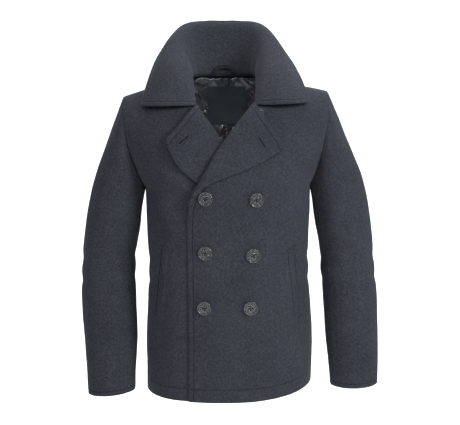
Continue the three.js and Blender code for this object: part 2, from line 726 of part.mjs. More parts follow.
// The quilting rises in cushions between its two sets of slanted stitch lines
function quilt(x, z) {
  const oneWay = Math.sin((Math.PI * (x + z)) / QUILT_PITCH);
  const otherWay = Math.sin((Math.PI * (x - z)) / QUILT_PITCH);
  return QUILT_HEIGHT * Math.sqrt(Math.abs(oneWay * otherWay));
}

// The lining hangs inside the back, plain towards the shell and quilted towards the wearer
function liningGrid() {
  const half = LINING_COLUMNS;
  const columns = [...half, ...half.slice(0, -1).reverse().map((x) => -x)];
  const heights = [...LINING_COARSE];
  for (let z = LINING_QUILT.bottomZ; z <= LINING_QUILT.topZ; z += QUILT_PITCH / 4) heights.push(z);
  heights.push(Infinity);
  return heights.map((height, r) =>
    columns.map((x) => {
      const top = mix(ARMPIT_Z, shoulderZ(x), LINING_TOP * neckTop(x, -angleAt(x, 2)));
      const z = Math.min(height, top - LINING_ROW_GAP * (heights.length - 1 - r));
      const { point, normal } = backAt(x, z);
      const inside = height >= LINING_QUILT.bottomZ && height <= LINING_QUILT.topZ;
      const raised = inside && Math.abs(x) <= LINING_QUILT.halfWidth ? quilt(x, z) : 0;
      return cell(point, normal, { offset: -CLOTH - LINING_EASE, thickness: LINING + raised });
    }),
  );
}

function labelGrid() {
  const steps = 6;
  const depth = CLOTH + LINING_EASE + LINING + QUILT_HEIGHT + EASE;
  const rows = [];
  for (let r = 0; r <= steps; r += 1) {
    const z = LABEL.topZ - (LABEL.height * r) / steps;
    const row = [];
    for (let c = 0; c <= steps; c += 1) {
      const x = LABEL.centreX + LABEL.width * (c / steps - 0.5);
      const { point, normal } = backAt(x, z);
      row.push(cell(point, normal, { offset: -depth, thickness: LABEL.thickness }));
    }
    rows.push(row);
  }
  return rows;
}

// The hanger loop: a flat band bowed up between its two ends
function hangerLoop() {
  const shape = new THREE.Shape();
  shape.absellipse(0, 0, LOOP.halfSpan, LOOP.rise, 0, Math.PI, false);
  shape.lineTo(-LOOP.halfSpan + LOOP.band, 0);
  shape.absellipse(0, 0, LOOP.halfSpan - LOOP.band, LOOP.rise - LOOP.topBand, Math.PI, 0, true);
  const geometry = new THREE.ExtrudeGeometry(shape, {
    depth: LOOP.thickness,
    bevelEnabled: false,
    curveSegments: 8,
  });
  geometry.rotateX(Math.PI / 2);
  geometry.translate(lookUp(BODY_LEAN, 'z', LOOP.z, 'x'), LOOP.y, LOOP.z);
  return piece('hanger_loop', geometry, WOOL);
}

// A closed mesh as a solid for cutting, and back again
function solid(geometry) {
  const bare = geometry.clone();
  bare.deleteAttribute('normal');
  bare.deleteAttribute('uv');
  const merged = mergeVertices(bare, 1e-4);
  return new wasm.Manifold(new wasm.Mesh({
    numProp: 3,
    vertProperties: new Float32Array(merged.attributes.position.array),
    triVerts: new Uint32Array(merged.index.array),
  }));
}

function unsolid(shape) {
  const mesh = shape.getMesh();
  const geometry = new THREE.BufferGeometry();
  geometry.setAttribute('position', new THREE.BufferAttribute(mesh.vertProperties, 3));
  geometry.setIndex(new THREE.BufferAttribute(mesh.triVerts, 1));
  return geometry;
}

// A button stands along +Z here, its face up
function buttonGeometry() {
  const rim = BUTTON_RADIUS;
  const high = BUTTON_THICKNESS;
  const outline = [
    [0, 0],
    [rim * 0.78, 0],
    [rim, high * 0.45],
    [rim * 0.97, high * 0.85],
    [rim * 0.86, high],
    [rim * 0.76, high * 0.78],
    [0, high * 0.7],
  ];
  const disc = new THREE.LatheGeometry(outline.map(([r, z]) => new THREE.Vector2(r, z)), 20);
  disc.rotateX(Math.PI / 2);
  let cut = solid(disc);
  for (const [x, y] of [[1, 1], [-1, 1], [-1, -1], [1, -1]]) {
    const drill = new THREE.CylinderGeometry(HOLE_RADIUS, HOLE_RADIUS, 4 * high, 6);
    drill.rotateX(Math.PI / 2);
    drill.translate(x * HOLE_OFFSET, y * HOLE_OFFSET, 0);
    cut = cut.subtract(solid(drill));
  }
  return unsolid(cut);
}

function button(name, place, geometry) {
  const { point, normal } = frontAt(place.x, place.z);
  const seated = settle(point, 1).addScaledVector(normal, foldHeight(settle(point, 1)) + place.ease);
  const mesh = piece(name, geometry, PLASTIC);
  mesh.position.copy(seated);
  mesh.quaternion.setFromUnitVectors(new THREE.Vector3(0, 0, 1), normal);
  return mesh;
}

const coat = new THREE.Group();
coat.add(wall('front_left', leftFrontGrid, WOOL));
coat.add(wall('front_right', rightFrontGrid, WOOL, { side: -1 }));
coat.add(wall('back', backGrid, WOOL));
for (const [name, side] of [['left', 1], ['right', -1]]) {
  coat.add(wall(`sleeve_top_${name}`, sleeveGrid(topAngles), WOOL, { side, lean: SLEEVE_LEAN }));
  coat.add(wall(`sleeve_under_${name}`, sleeveGrid(underAngles), WOOL, { side, lean: SLEEVE_LEAN }));
  coat.add(wall(`pocket_welt_${name}`, weltGrid(), WOOL, { side }));
}
coat.add(wall('collar', collarGrid, WOOL));
coat.add(wall('lapel_left', lapelGrid(LEFT_LAPEL, leftFrontGrid, () => 0), WOOL));
coat.add(wall('lapel_right', lapelGrid(RIGHT_LAPEL, rightFrontGrid, coveredDepth), WOOL, { side: -1 }));
coat.add(wall('lining_back', liningGrid(), SATIN));
coat.add(wall('neck_label', labelGrid(), WOVEN));
coat.add(hangerLoop());
const turned = buttonGeometry();
BUTTONS.forEach((place, i) => coat.add(button(`button_${i + 1}`, place, turned)));

export default coat;
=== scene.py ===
# %% [markdown]
# # A pea coat in dark melton wool
# The coat hangs in the form that it has when worn, with nobody in it. Its cloth panels come from
# the imported frame as plain walls. Here each one becomes soft, thick wool: rounded at its edges,
# creased by listed folds, topstitched with real stitches, and covered in a felted cloth material.
# Lengths are in metres, +Z is up, the wearer faces -Y and the wearer's left is +X.

# %% The frame
import math

import bmesh
import bpy
import numpy as np
from mathutils import Matrix, Vector, noise
from mathutils.bvhtree import BVHTree
from mathutils.kdtree import KDTree


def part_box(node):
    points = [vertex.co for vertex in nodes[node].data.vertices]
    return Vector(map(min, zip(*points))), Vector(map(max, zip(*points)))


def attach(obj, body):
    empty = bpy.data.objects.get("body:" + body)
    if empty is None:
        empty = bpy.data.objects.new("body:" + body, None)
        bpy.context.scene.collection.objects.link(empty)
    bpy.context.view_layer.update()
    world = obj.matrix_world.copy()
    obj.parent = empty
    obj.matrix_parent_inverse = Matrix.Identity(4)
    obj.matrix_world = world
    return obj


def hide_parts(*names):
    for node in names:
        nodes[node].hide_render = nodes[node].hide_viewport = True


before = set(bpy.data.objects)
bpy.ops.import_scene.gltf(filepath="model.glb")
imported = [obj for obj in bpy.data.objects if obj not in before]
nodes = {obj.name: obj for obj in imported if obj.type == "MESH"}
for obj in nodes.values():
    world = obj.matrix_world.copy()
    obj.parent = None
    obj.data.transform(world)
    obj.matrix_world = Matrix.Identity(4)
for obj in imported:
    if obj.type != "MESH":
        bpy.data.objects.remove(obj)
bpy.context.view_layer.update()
MM = 0.001

# %% [markdown]
# ## Camera
# The photograph looks down at the coat by ten degrees from a little over two metres away.
# A 36 mm wide sensor and an 82 mm lens give the same perspective.

# %% Camera
CAMERA_PLACE = Vector((0.0044, -2.26506, 0.12939))
CAMERA_TILT = math.radians(80)
LENS_MM = 81.78
SENSOR_MM = 36

camera_data = bpy.data.cameras.new("camera")
camera_data.lens = LENS_MM
camera_data.sensor_width = SENSOR_MM
camera_data.sensor_fit = "HORIZONTAL"
camera = bpy.data.objects.new("camera", camera_data)
camera.location = CAMERA_PLACE
camera.rotation_euler = (CAMERA_TILT, 0, 0)
bpy.context.scene.collection.objects.link(camera)
bpy.context.scene.camera = camera
print("camera at", tuple(camera.location))

# %% [markdown]
# ## Studio
# The coat hangs over a pale floor that curves up into a backdrop. A wall and a floor would show the
# line between them, so this is one strip of floor, spun up at the back by a quarter turn. It glows
# a little and has a light of its own, and so stays white. The key light is soft and stands above
# the wearer's left, so that side of the coat is clearer and faintly green. A weak violet light
# fills the other side, and two more stand in front and above.

# %% Studio helpers
FLOOR_Z = -1.0
FLOOR_HALF = 6.0
BACKDROP_Y = 3.0
SWEEP_RADIUS = 1.5
SWEEP_STEPS = 24
PAPER_WHITE = (0.9, 0.9, 0.9, 1)
PAPER_GRAIN = 60
BACKDROP_GLOW = 0.2


def link(mesh, name):
    thing = bpy.data.objects.new(name, mesh)
    bpy.context.scene.collection.objects.link(thing)
    return thing


def shade_smooth(mesh):
    mesh.polygons.foreach_set("use_smooth", [True] * len(mesh.polygons))


def studio():
    bm = bmesh.new()
    near = [bm.verts.new((side * FLOOR_HALF, -FLOOR_HALF, FLOOR_Z)) for side in (-1, 1)]
    far = [bm.verts.new((side * FLOOR_HALF, BACKDROP_Y, FLOOR_Z)) for side in (-1, 1)]
    bm.edges.new(near)
    start = bm.edges.new(far)
    bm.faces.new((near[0], near[1], far[1], far[0]))
    bend = bmesh.ops.spin(
        bm, geom=[start, *far], cent=(0, BACKDROP_Y, FLOOR_Z + SWEEP_RADIUS),
        axis=(1, 0, 0), angle=math.radians(90), steps=SWEEP_STEPS, use_merge=False,
    )
    last = [part for part in bend["geom_last"] if isinstance(part, bmesh.types.BMEdge)]
    rise = bmesh.ops.extrude_edge_only(bm, edges=last)
    top = [part for part in rise["geom"] if isinstance(part, bmesh.types.BMVert)]
    bmesh.ops.translate(bm, verts=top, vec=(0, 0, 2 * FLOOR_HALF))
    bmesh.ops.remove_doubles(bm, verts=bm.verts, dist=MM)
    bmesh.ops.recalc_face_normals(bm, faces=bm.faces)
    mesh = bpy.data.meshes.new("studio")
    bm.to_mesh(mesh)
    shade_smooth(mesh)
    return link(mesh, "studio")


def backdrop_paper():
    material = bpy.data.materials.new("backdrop_paper")
    material.use_nodes = True
    tree = material.node_tree
    shader = tree.nodes["Principled BSDF"]
    fibre = tree.nodes.new("ShaderNodeTexNoise")
    fibre.inputs["Scale"].default_value = PAPER_GRAIN
    relief = tree.nodes.new("ShaderNodeBump")
    relief.inputs["Strength"].default_value = 0.05
    tree.links.new(fibre.outputs["Fac"], relief.inputs["Height"])
    tree.links.new(relief.outputs["Normal"], shader.inputs["Normal"])
    shader.inputs["Base Color"].default_value = PAPER_WHITE
    shader.inputs["Roughness"].default_value = 0.9
    shader.inputs["Emission Color"].default_value = (1, 1, 1, 1)
    shader.inputs["Emission Strength"].default_value = BACKDROP_GLOW
    return material


backdrop = studio()
backdrop.data.materials.append(backdrop_paper())
print("floor at", FLOOR_Z)

# %% Lights
LIGHTS = (
    # name, place, aimed at, width, height, watts, colour
    ("key", (1.75, -1.8, 0.85), (0.05, 0, -0.12), 0.9, 0.9, 60, (0.96, 1.0, 0.97)),
    ("fill", (-1.9, -2.3, 1.0), (-0.1, 0, -0.1), 1.2, 1.2, 13, (1.0, 0.85, 1.0)),
    ("front", (0.1, -2.5, 1.2), (0, 0, -0.05), 0.8, 0.8, 26, (1.0, 1.0, 1.0)),
    ("top", (0.1, -0.5, 2.3), (0, 0, -0.1), 1.6, 1.2, 8, (1.0, 1.0, 1.0)),
    ("backdrop", (0, 0.9, 2.4), (0, 3.6, -0.4), 3.0, 1.2, 190, (1.0, 1.0, 1.0)),
)
WORLD_STRENGTH = 0.1


def area_light(name, place, aim, width, height, watts, colour):
    light = bpy.data.lights.new(name, "AREA")
    light.color = colour
    light.shape = "RECTANGLE"
    light.size = width
    light.size_y = height
    light.energy = watts
    lamp = bpy.data.objects.new(name, light)
    lamp.location = place
    lamp.rotation_euler = (Vector(aim) - Vector(place)).to_track_quat("-Z", "Y").to_euler()
    bpy.context.scene.collection.objects.link(lamp)


for light_row in LIGHTS:
    area_light(*light_row)

world = bpy.data.worlds.new("world")
world.use_nodes = True
world.node_tree.nodes["Background"].inputs["Color"].default_value = (1, 1, 1, 1)
world.node_tree.nodes["Background"].inputs["Strength"].default_value = WORLD_STRENGTH
bpy.context.scene.world = world
bpy.context.scene.view_settings.view_transform = "Standard"
print(len(LIGHTS), "lights")

# %% [markdown]
# ## Materials
# Melton is woven wool that is milled until its fibres felt over the weave, then cut short. It is
# matte and very dark, with a faint bloom of light at grazing angles, and it has a fine grain of
# fibres with lighter and darker flecks. The weave barely shows. Hair strands could make the nap, but
# it is so short that a material does as well. A rough base with sheen gives the bloom, several
# sizes of noise give the flecks, and a small bump gives the nap. Each panel also carries an
# attribute with the distance to its rows of stitches. There the cloth sinks by a bump, and its
# colour is darkened with painted shade along the groove.


# %% Material helpers
def new_material(name):
    material = bpy.data.materials.new(name)
    material.use_nodes = True
    tree = material.node_tree
    return material, tree, tree.nodes["Principled BSDF"]


def add_node(tree, kind, **values):
    node = tree.nodes.new(kind)
    for key, value in values.items():
        if key in node.inputs:
            node.inputs[key].default_value = value
        else:
            setattr(node, key, value)
    return node


def wire(tree, *ends):
    """Joins each output to the input that follows it."""
    for output, target in zip(ends[::2], ends[1::2]):
        tree.links.new(output, target)


def noise_texture(tree, vector, scale, detail=3.0, roughness=0.6):
    texture = add_node(tree, "ShaderNodeTexNoise", Scale=scale, Detail=detail, Roughness=roughness)
    wire(tree, vector, texture.inputs["Vector"])
    return texture.outputs["Fac"]


def ramp(tree, value, stops):
    """Maps a value from 0 to 1 onto colours: stops are (place, colour)."""
    node = tree.nodes.new("ShaderNodeValToRGB")
    wire(tree, value, node.inputs["Fac"])
    elements = node.color_ramp.elements
    for element, (place, colour) in zip(elements, (stops[0], stops[-1])):
        element.position = place
        element.color = (*colour, 1)
    for place, colour in stops[1:-1]:
        elements.new(place).color = (*colour, 1)
    return node.outputs["Color"]


def maths(tree, operation, *values):
    node = tree.nodes.new("ShaderNodeMath")
    node.operation = operation
    for socket, value in zip(node.inputs, values):
        if isinstance(value, (int, float)):
            socket.default_value = value
        else:
            wire(tree, value, socket)
    return node.outputs[0]


def blend_colours(tree, kind, share, first, second):
    node = add_node(tree, "ShaderNodeMix", data_type="RGBA", blend_type=kind)
    for socket, value in ((node.inputs[0], share), (node.inputs[6], first), (node.inputs[7], second)):
        if isinstance(value, (int, float)):
            socket.default_value = value
        elif isinstance(value, tuple):
            socket.default_value = (*value, 1)
        else:
            wire(tree, value, socket)
    return node.outputs[2]


def bump(tree, height, strength, distance, normal=None):
    node = add_node(tree, "ShaderNodeBump", Strength=strength, Distance=distance)
    wire(tree, height, node.inputs["Height"])
    if normal is not None:
        wire(tree, normal, node.inputs["Normal"])
    return node.outputs["Normal"]


def attribute_value(tree, name):
    node = tree.nodes.new("ShaderNodeAttribute")
    node.attribute_name = name
    return node.outputs["Fac"]


# %% Melton wool
WOOL_DARK = (0.018, 0.0195, 0.0255)
WOOL_MID = (0.028, 0.0302, 0.0391)
WOOL_PALE = (0.0472, 0.0505, 0.0637)
WOOL_CLOUDS = ((0.3, (0.86, 0.86, 0.88)), (0.7, (1.08, 1.08, 1.06)))
FIBRE_SCALE = 900
FLECK_SCALE = 270
CLOUD_SCALE = 9
FLECK_SHARE = 0.62
NAP_STRENGTH = 0.55
NAP_HEIGHT = 0.35 * MM
GROOVE_WIDTH = 1.5 * MM
GROOVE_DEPTH = 1.4 * MM
# painted shade in the stitch grooves: how strongly it darkens the cloth, and its colour
GROOVE_PAINTED_SHADE_SHARE = 0.55
GROOVE_SHADE = (0.32, 0.32, 0.34)
WOOL_SHEEN_TINT = (0.5, 0.56, 0.68, 1)


def melton():
    material, tree, shader = new_material("melton_wool")
    place = tree.nodes.new("ShaderNodeTexCoord").outputs["Object"]
    fibres = noise_texture(tree, place, FIBRE_SCALE, detail=4, roughness=0.75)
    flecks = noise_texture(tree, place, FLECK_SCALE, detail=3, roughness=0.7)
    clouds = noise_texture(tree, place, CLOUD_SCALE, detail=3, roughness=0.55)
    finest = maths(tree, "MULTIPLY", fibres, 1 - FLECK_SHARE)
    grain = maths(tree, "MULTIPLY_ADD", flecks, FLECK_SHARE, finest)
    colour = ramp(tree, grain, (
        (0.38, WOOL_DARK),
        (0.5, WOOL_MID),
        (0.64, WOOL_PALE),
    ))
    colour = blend_colours(tree, "MULTIPLY", 1.0, colour, ramp(tree, clouds, WOOL_CLOUDS))
    # along each row of stitches the colour is darkened with painted shade, and a bump sinks the cloth
    groove = attribute_value(tree, "stitch_line")
    gap = maths(tree, "ABSOLUTE", maths(tree, "DIVIDE", groove, GROOVE_WIDTH))
    nearness = maths(tree, "MINIMUM", 1.0, gap)
    depth = maths(tree, "SUBTRACT", 1.0, nearness)
    darker = maths(tree, "MULTIPLY", depth, GROOVE_PAINTED_SHADE_SHARE)
    colour = blend_colours(tree, "MULTIPLY", darker, colour, GROOVE_SHADE)
    nap = bump(tree, grain, NAP_STRENGTH, NAP_HEIGHT)
    sunk = bump(tree, maths(tree, "MULTIPLY", depth, -1.0), 1.0, GROOVE_DEPTH, nap)
    wire(tree, colour, shader.inputs["Base Color"], sunk, shader.inputs["Normal"])
    shader.inputs["Roughness"].default_value = 0.95
    shader.inputs["Specular IOR Level"].default_value = 0.12
    shader.inputs["Sheen Weight"].default_value = 0.07
    shader.inputs["Sheen Roughness"].default_value = 0.5
    shader.inputs["Sheen Tint"].default_value = WOOL_SHEEN_TINT
    return material


wool = melton()
print("wool material ready")

# %% [markdown]
# ## Cloth from the frame
# A panel in the frame is a closed wall of triangles: an outer face, an inner face and a narrow rim
# between them. Subdivision works best on squares, so each triangle is joined to its partner again.
# The editor's Tris to Quads guesses the partners from angles and can go wrong on bent cloth, so
# they are found from the pattern. Six edges meet at most verts of such a wall, and only four at
# some of its corners. Two of those corners share an edge that crosses the rim. From there the rim
# is walked all the way round, and then the diagonals are followed over both faces.


# %% Walls back to squares
RIM, FIRST_FACE, SECOND_FACE = 0, 1, 2
WELD = 0.02 * MM


def apex(face, edge):
    return next(vert for vert in face.verts if vert not in edge.verts)


def beyond(face, edge):
    return next(other for other in edge.link_faces if other is not face)


def edge_of(face, first, second):
    return next(edge for edge in face.edges if first in edge.verts and second in edge.verts)


def is_corner(vert):
    return len(vert.link_edges) == 4


# %% Walks round the rim and over a face
def walk_rim(face, across, near, far):
    """Diagonals and faces round the rim. The first triangle's apex is on near's side."""
    diagonals, faces = [], []
    first = across
    while True:
        tip = apex(face, across)
        diagonal = edge_of(face, tip, far)
        partner = beyond(face, diagonal)
        next_far = apex(partner, diagonal)
        diagonals.append(diagonal)
        faces += [face, partner]
        across = edge_of(partner, tip, next_far)
        near, far = tip, next_far
        if across is first:
            return diagonals, faces
        if is_corner(near) != is_corner(far):
            near, far = far, near
        face = beyond(partner, across)


def walk_face(face, diagonal, rim):
    """Diagonals and faces over one face of the wall, spread from one of its corners."""
    diagonals, faces = set(), set()
    waiting = [(face, diagonal)]
    while waiting:
        face, diagonal = waiting.pop()
        if face in faces:
            continue
        diagonals.add(diagonal)
        for half in (face, beyond(face, diagonal)):
            faces.add(half)
            odd = apex(half, diagonal)
            for edge in half.edges:
                if edge is diagonal:
                    continue
                other = beyond(half, edge)
                if other not in rim and other not in faces:
                    waiting.append((other, edge_of(other, odd, apex(other, edge))))
    return diagonals, faces


# %% A wall in squares
def wall_squares(node):
    """The node's wall in squares, each marked as rim or as one of the two faces."""
    bm = bmesh.new()
    bm.from_mesh(nodes[node].data)
    side = bm.faces.layers.int.new("wall_side")
    bmesh.ops.remove_doubles(bm, verts=bm.verts, dist=WELD)
    # A diagonal that runs the other way has seven edges at both its ends, and is turned back
    turned = [edge for edge in bm.edges if all(len(vert.link_edges) == 7 for vert in edge.verts)]
    bmesh.ops.rotate_edges(bm, edges=turned, use_ccw=False)
    across = next(edge for edge in bm.edges if all(is_corner(vert) for vert in edge.verts))
    tips = [apex(face, across) for face in across.link_faces]
    spare = {}
    for vert in across.verts:
        around = [edge.other_vert(vert) for edge in vert.link_edges]
        spare[vert] = next(other for other in around if other not in across.verts and other not in tips)
    face, tip = across.link_faces[0], tips[0]
    far = min(across.verts, key=lambda vert: (spare[vert].co - tip.co).length)
    near = across.other_vert(far)
    diagonals, rim = walk_rim(face, across, near, far)
    rim = set(rim)
    for mark, vert in ((FIRST_FACE, near), (SECOND_FACE, far)):
        ear = next(other for other in vert.link_faces if other not in rim)
        opposite = next(edge for edge in ear.edges if vert not in edge.verts)
        more, faces = walk_face(ear, opposite, rim)
        diagonals += more
        for other in faces:
            other[side] = mark
    bmesh.ops.dissolve_edges(bm, edges=diagonals, use_verts=False, use_face_split=False)
    return bm


print("walls can be read back as squares")

# %% [markdown]
# ## Soft panels
# Thick wool has no sharp corners. Each wall of squares gets a Subdivision Surface modifier, with
# creases round its rim so that the edges stay firm but rounded. A Bevel would round the edges too,
# but leave the squares of the wall flat. Subdivision pulls a curved surface inwards, so the
# control points are first moved out by about as much as it would pull them in, and the cloth keeps
# the frame's form and size. The two faces then move together by the listed folds.

# %% Which face of a panel shows
SLEEVE_MIDDLE_X = 0.262
COLLAR_ROLL_Z = 0.09


def outward_hint(name, place):
    """A direction that roughly leaves the wearer's body at a place on the panel."""
    if name.startswith("sleeve"):
        return Vector((place.x - math.copysign(SLEEVE_MIDDLE_X, place.x), place.y, 0))
    if name.startswith("lining") or name.startswith("neck_label"):
        return Vector((-place.x * 0.2, -1, 0))
    if name == "collar" and place.z > COLLAR_ROLL_Z:
        return Vector((-place.x, -place.y, 0))
    if name == "collar":
        return Vector((place.x, place.y - 0.05, 0.05))
    return Vector((place.x, place.y, 0.02))


def shown_side(bm, name):
    """The mark of the face that looks outwards."""
    side = bm.faces.layers.int["wall_side"]
    flux = {FIRST_FACE: 0.0, SECOND_FACE: 0.0}
    for face in bm.faces:
        if face[side] != RIM:
            hint = outward_hint(name, face.calc_center_median())
            flux[face[side]] += face.calc_area() * face.normal.dot(hint)
    return max(flux, key=flux.get)


# %% Subdivided panel
ROUNDED = ("collar", "lapel_left", "lapel_right")
ROUNDED_FIRMNESS = 0.55
SQUARE_FIRMNESS = 0.9
SLEEVE_HEAD_Z = -0.4


def is_tip(vert):
    """True at a corner of the panel, but not at a sleeve's head, which is round."""
    sleeve_head = abs(vert.co.x) > 0.2 and vert.co.z > SLEEVE_HEAD_Z
    return len(vert.link_edges) == 3 and not sleeve_head


def rim_creases(bm, firmness, corner_firmness):
    """Creases the two borders of the rim, and keeps its corners as square as they should be."""
    side = bm.faces.layers.int["wall_side"]
    crease = bm.edges.layers.float.new("crease_edge")
    held = bm.verts.layers.float.new("crease_vert")
    for edge in bm.edges:
        marks = [face[side] for face in edge.link_faces]
        if marks.count(RIM) == 1:
            edge[crease] = firmness
        elif all(is_tip(vert) for vert in edge.verts):
            edge[crease] = corner_firmness
    for vert in bm.verts:
        if is_tip(vert):
            vert[held] = corner_firmness


def as_subdivided(mesh, levels):
    """The mesh after a Subdivision Surface modifier, as a new mesh."""
    thing = link(mesh, "trial")
    modifier = thing.modifiers.new("soft", "SUBSURF")
    modifier.levels = levels
    modifier.render_levels = levels
    modifier.boundary_smooth = "ALL"
    graph = bpy.context.evaluated_depsgraph_get()
    result = bpy.data.meshes.new_from_object(thing.evaluated_get(graph))
    bpy.data.objects.remove(thing)
    return result


def coordinates(mesh):
    flat = np.empty(len(mesh.vertices) * 3)
    mesh.vertices.foreach_get("co", flat)
    return flat.reshape(-1, 3)


def set_coordinates(mesh, points):
    mesh.vertices.foreach_set("co", np.ascontiguousarray(points, dtype=np.float32).ravel())
    mesh.update()


FIT_PASSES = 2
FIT_LEVELS = 2
FIT_SHARE = 0.9


def soft_panel(node, levels, firmness):
    """A subdivided copy of the node that keeps its form. Face marks: 0 rim, 1 shown, 2 hidden."""
    bm = wall_squares(node)
    shown = shown_side(bm, node)
    side = bm.faces.layers.int["wall_side"]
    for face in bm.faces:
        if face[side] != RIM:
            face[side] = FIRST_FACE if face[side] == shown else SECOND_FACE
    rim_creases(bm, firmness, ROUNDED_FIRMNESS if node in ROUNDED else SQUARE_FIRMNESS)
    coarse = bpy.data.meshes.new(node + "_coarse")
    bm.to_mesh(coarse)
    bm.free()
    wanted = coordinates(coarse)
    for _ in range(FIT_PASSES):
        reached = coordinates(as_subdivided(coarse, FIT_LEVELS))[: len(wanted)]
        set_coordinates(coarse, coordinates(coarse) + FIT_SHARE * (wanted - reached))
    return as_subdivided(coarse, levels)


print("soft panels ready")

# %% [markdown]
# ## Folds
# Heavy melton hangs in few, wide folds. A cloth simulation would place them by chance, so each one
# is listed: the side it is seen from, its two ends and the point that it bends towards,
# its half-width and its height, where a trough is negative. A fold fades out at both ends. The same
# table moves every layer of the coat, so the lapels, welts and stitches stay on the cloth under them.

# %% Fold table
# side seen from, start, bend, end (across and up, in millimetres), half-width, height
FOLDS = (
    ("front", (150, -40), (95, -150), (62, -232), 24, 1.6),
    ("front", (165, -120), (120, -200), (78, -262), 18, 1.3),
    ("front", (160, -190), (125, -236), (92, -290), 15, -1.5),
    ("front", (-150, -60), (-120, -150), (-60, -214), 25, 2.2),
    ("front", (-165, -160), (-110, -205), (-62, -250), 17, -1.7),
    ("front", (-168, -215), (-130, -262), (-92, -345), 20, 1.5),
    ("front", (10, -300), (-6, -380), (14, -470), 26, -1.0),
    ("front", (100, -420), (112, -500), (96, -600), 24, 1.4),
    ("front", (40, -500), (24, -580), (36, -640), 20, -1.0),
    ("front", (-110, -400), (-122, -500), (-108, -620), 22, 1.4),
    ("front", (172, -300), (150, -352), (160, -420), 16, -1.4),
    ("front", (-172, -300), (-150, -360), (-160, -440), 16, -1.4),
    ("front", (0, -262), (30, -275), (58, -262), 18, -0.9),
    ("front", (-30, -222), (10, -236), (50, -226), 14, 0.9),
    # The insides of the elbows crease across the sleeve
    ("front", (200, -330), (236, -352), (286, -346), 12, -2.2),
    ("front", (198, -372), (240, -388), (292, -372), 11, -2.4),
    ("front", (202, -402), (238, -410), (280, -400), 9, 1.5),
    ("front", (204, -430), (246, -432), (296, -412), 12, -2.0),
    ("front", (208, -476), (240, -470), (276, -456), 13, -1.2),
    ("front", (250, -120), (276, -190), (300, -280), 20, 1.3),
    ("front", (236, -200), (228, -260), (214, -320), 16, 1.4),
    ("front", (300, -440), (296, -520), (304, -600), 16, 1.2),
    ("front", (236, -520), (246, -570), (240, -630), 15, -1.0),
    ("front", (-200, -338), (-232, -360), (-284, -350), 12, -2.3),
    ("front", (-196, -380), (-240, -392), (-296, -384), 11, -2.3),
    ("front", (-200, -408), (-236, -418), (-272, -406), 9, 1.5),
    ("front", (-202, -440), (-240, -440), (-290, -424), 13, -2.1),
    ("front", (-206, -490), (-236, -482), (-270, -470), 12, -1.1),
    ("front", (-236, -90), (-262, -170), (-284, -260), 20, 1.4),
    ("front", (-226, -190), (-222, -250), (-206, -310), 15, 1.3),
    ("front", (-298, -430), (-292, -520), (-300, -610), 16, 1.1),
    # The back hangs from the shoulder blades
    ("back", (-150, -90), (-120, -240), (-96, -420), 28, 2.0),
    ("back", (150, -70), (128, -230), (104, -380), 28, 1.8),
    ("back", (-60, -160), (-46, -330), (-58, -560), 26, -1.8),
    ("back", (70, -190), (58, -370), (66, -600), 24, -1.6),
    ("back", (0, -60), (6, -300), (-4, -520), 30, 1.2),
    ("back", (-165, -210), (-120, -260), (-70, -282), 15, -1.4),
    ("back", (165, -200), (112, -252), (60, -270), 15, -1.5),
    ("back", (-130, -420), (-140, -520), (-124, -630), 22, 1.6),
    ("back", (120, -430), (134, -530), (118, -640), 22, 1.5),
    ("back", (-60, 5), (0, -12), (60, 6), 14, 1.2),
    ("back", (210, -330), (250, -350), (300, -340), 15, 1.6),
    ("back", (208, -400), (250, -404), (304, -392), 14, -1.6),
    ("back", (-210, -340), (-250, -356), (-300, -348), 15, 1.5),
    ("back", (-206, -408), (-250, -410), (-304, -400), 14, -1.6),
    # Seen from the wearer's left and right, across is the depth of the coat
    ("left", (-40, -120), (-10, -210), (-26, -300), 18, 1.4),
    ("left", (-50, -350), (-8, -372), (40, -360), 13, -1.7),
    ("left", (-54, -404), (-10, -416), (36, -410), 12, -1.6),
    ("left", (10, -440), (-10, -520), (-30, -600), 15, 1.1),
    ("right", (-36, -110), (-6, -200), (-20, -310), 18, 1.4),
    ("right", (-48, -360), (-6, -380), (42, -366), 13, -1.7),
    ("right", (-56, -410), (-12, -424), (34, -414), 12, -1.5),
    ("right", (8, -450), (-12, -530), (-34, -610), 15, 1.0),
)
VIEWS = {
    # side seen from: the axis across, and the direction that faces the viewer
    "front": (0, (0, -1, 0)),
    "back": (0, (0, 1, 0)),
    "left": (1, (1, 0, 0)),
    "right": (1, (-1, 0, 0)),
}
FOLD_SAMPLES = 24
CLOTH_FOLD_GAIN = 1.4
CLOTH_FOLD_FADE = (0.04, 0.7)
TURNED_AWAY, FACING = 0.1, 0.5


def smooth_step(values, low, high):
    share = np.clip((values - low) / (high - low), 0, 1)
    return share * share * (3 - 2 * share)


def bent_line(start, bend, end):
    """Points on a curve from start to end that leans towards a third point, in metres."""
    share = np.linspace(0, 1, FOLD_SAMPLES)[:, None]
    line = (1 - share) ** 2 * np.array(start) + 2 * share * (1 - share) * np.array(bend)
    return (line + share ** 2 * np.array(end)) * MM


def fading(margin, power):
    """The strength of a fold along its line, full in the middle and weak at both ends."""
    return np.sin(np.pi * np.linspace(margin, 1 - margin, FOLD_SAMPLES)) ** power


def bell_along(line, places, half_width, fade):
    """A rounded ridge along the line: 1 on it, and falling off to both sides."""
    reach = ((places[:, None, :] - line[None]) ** 2).sum(2)
    nearest = reach.argmin(1)
    return np.exp(-reach[np.arange(len(places)), nearest] / (half_width * MM) ** 2) * fade[nearest]


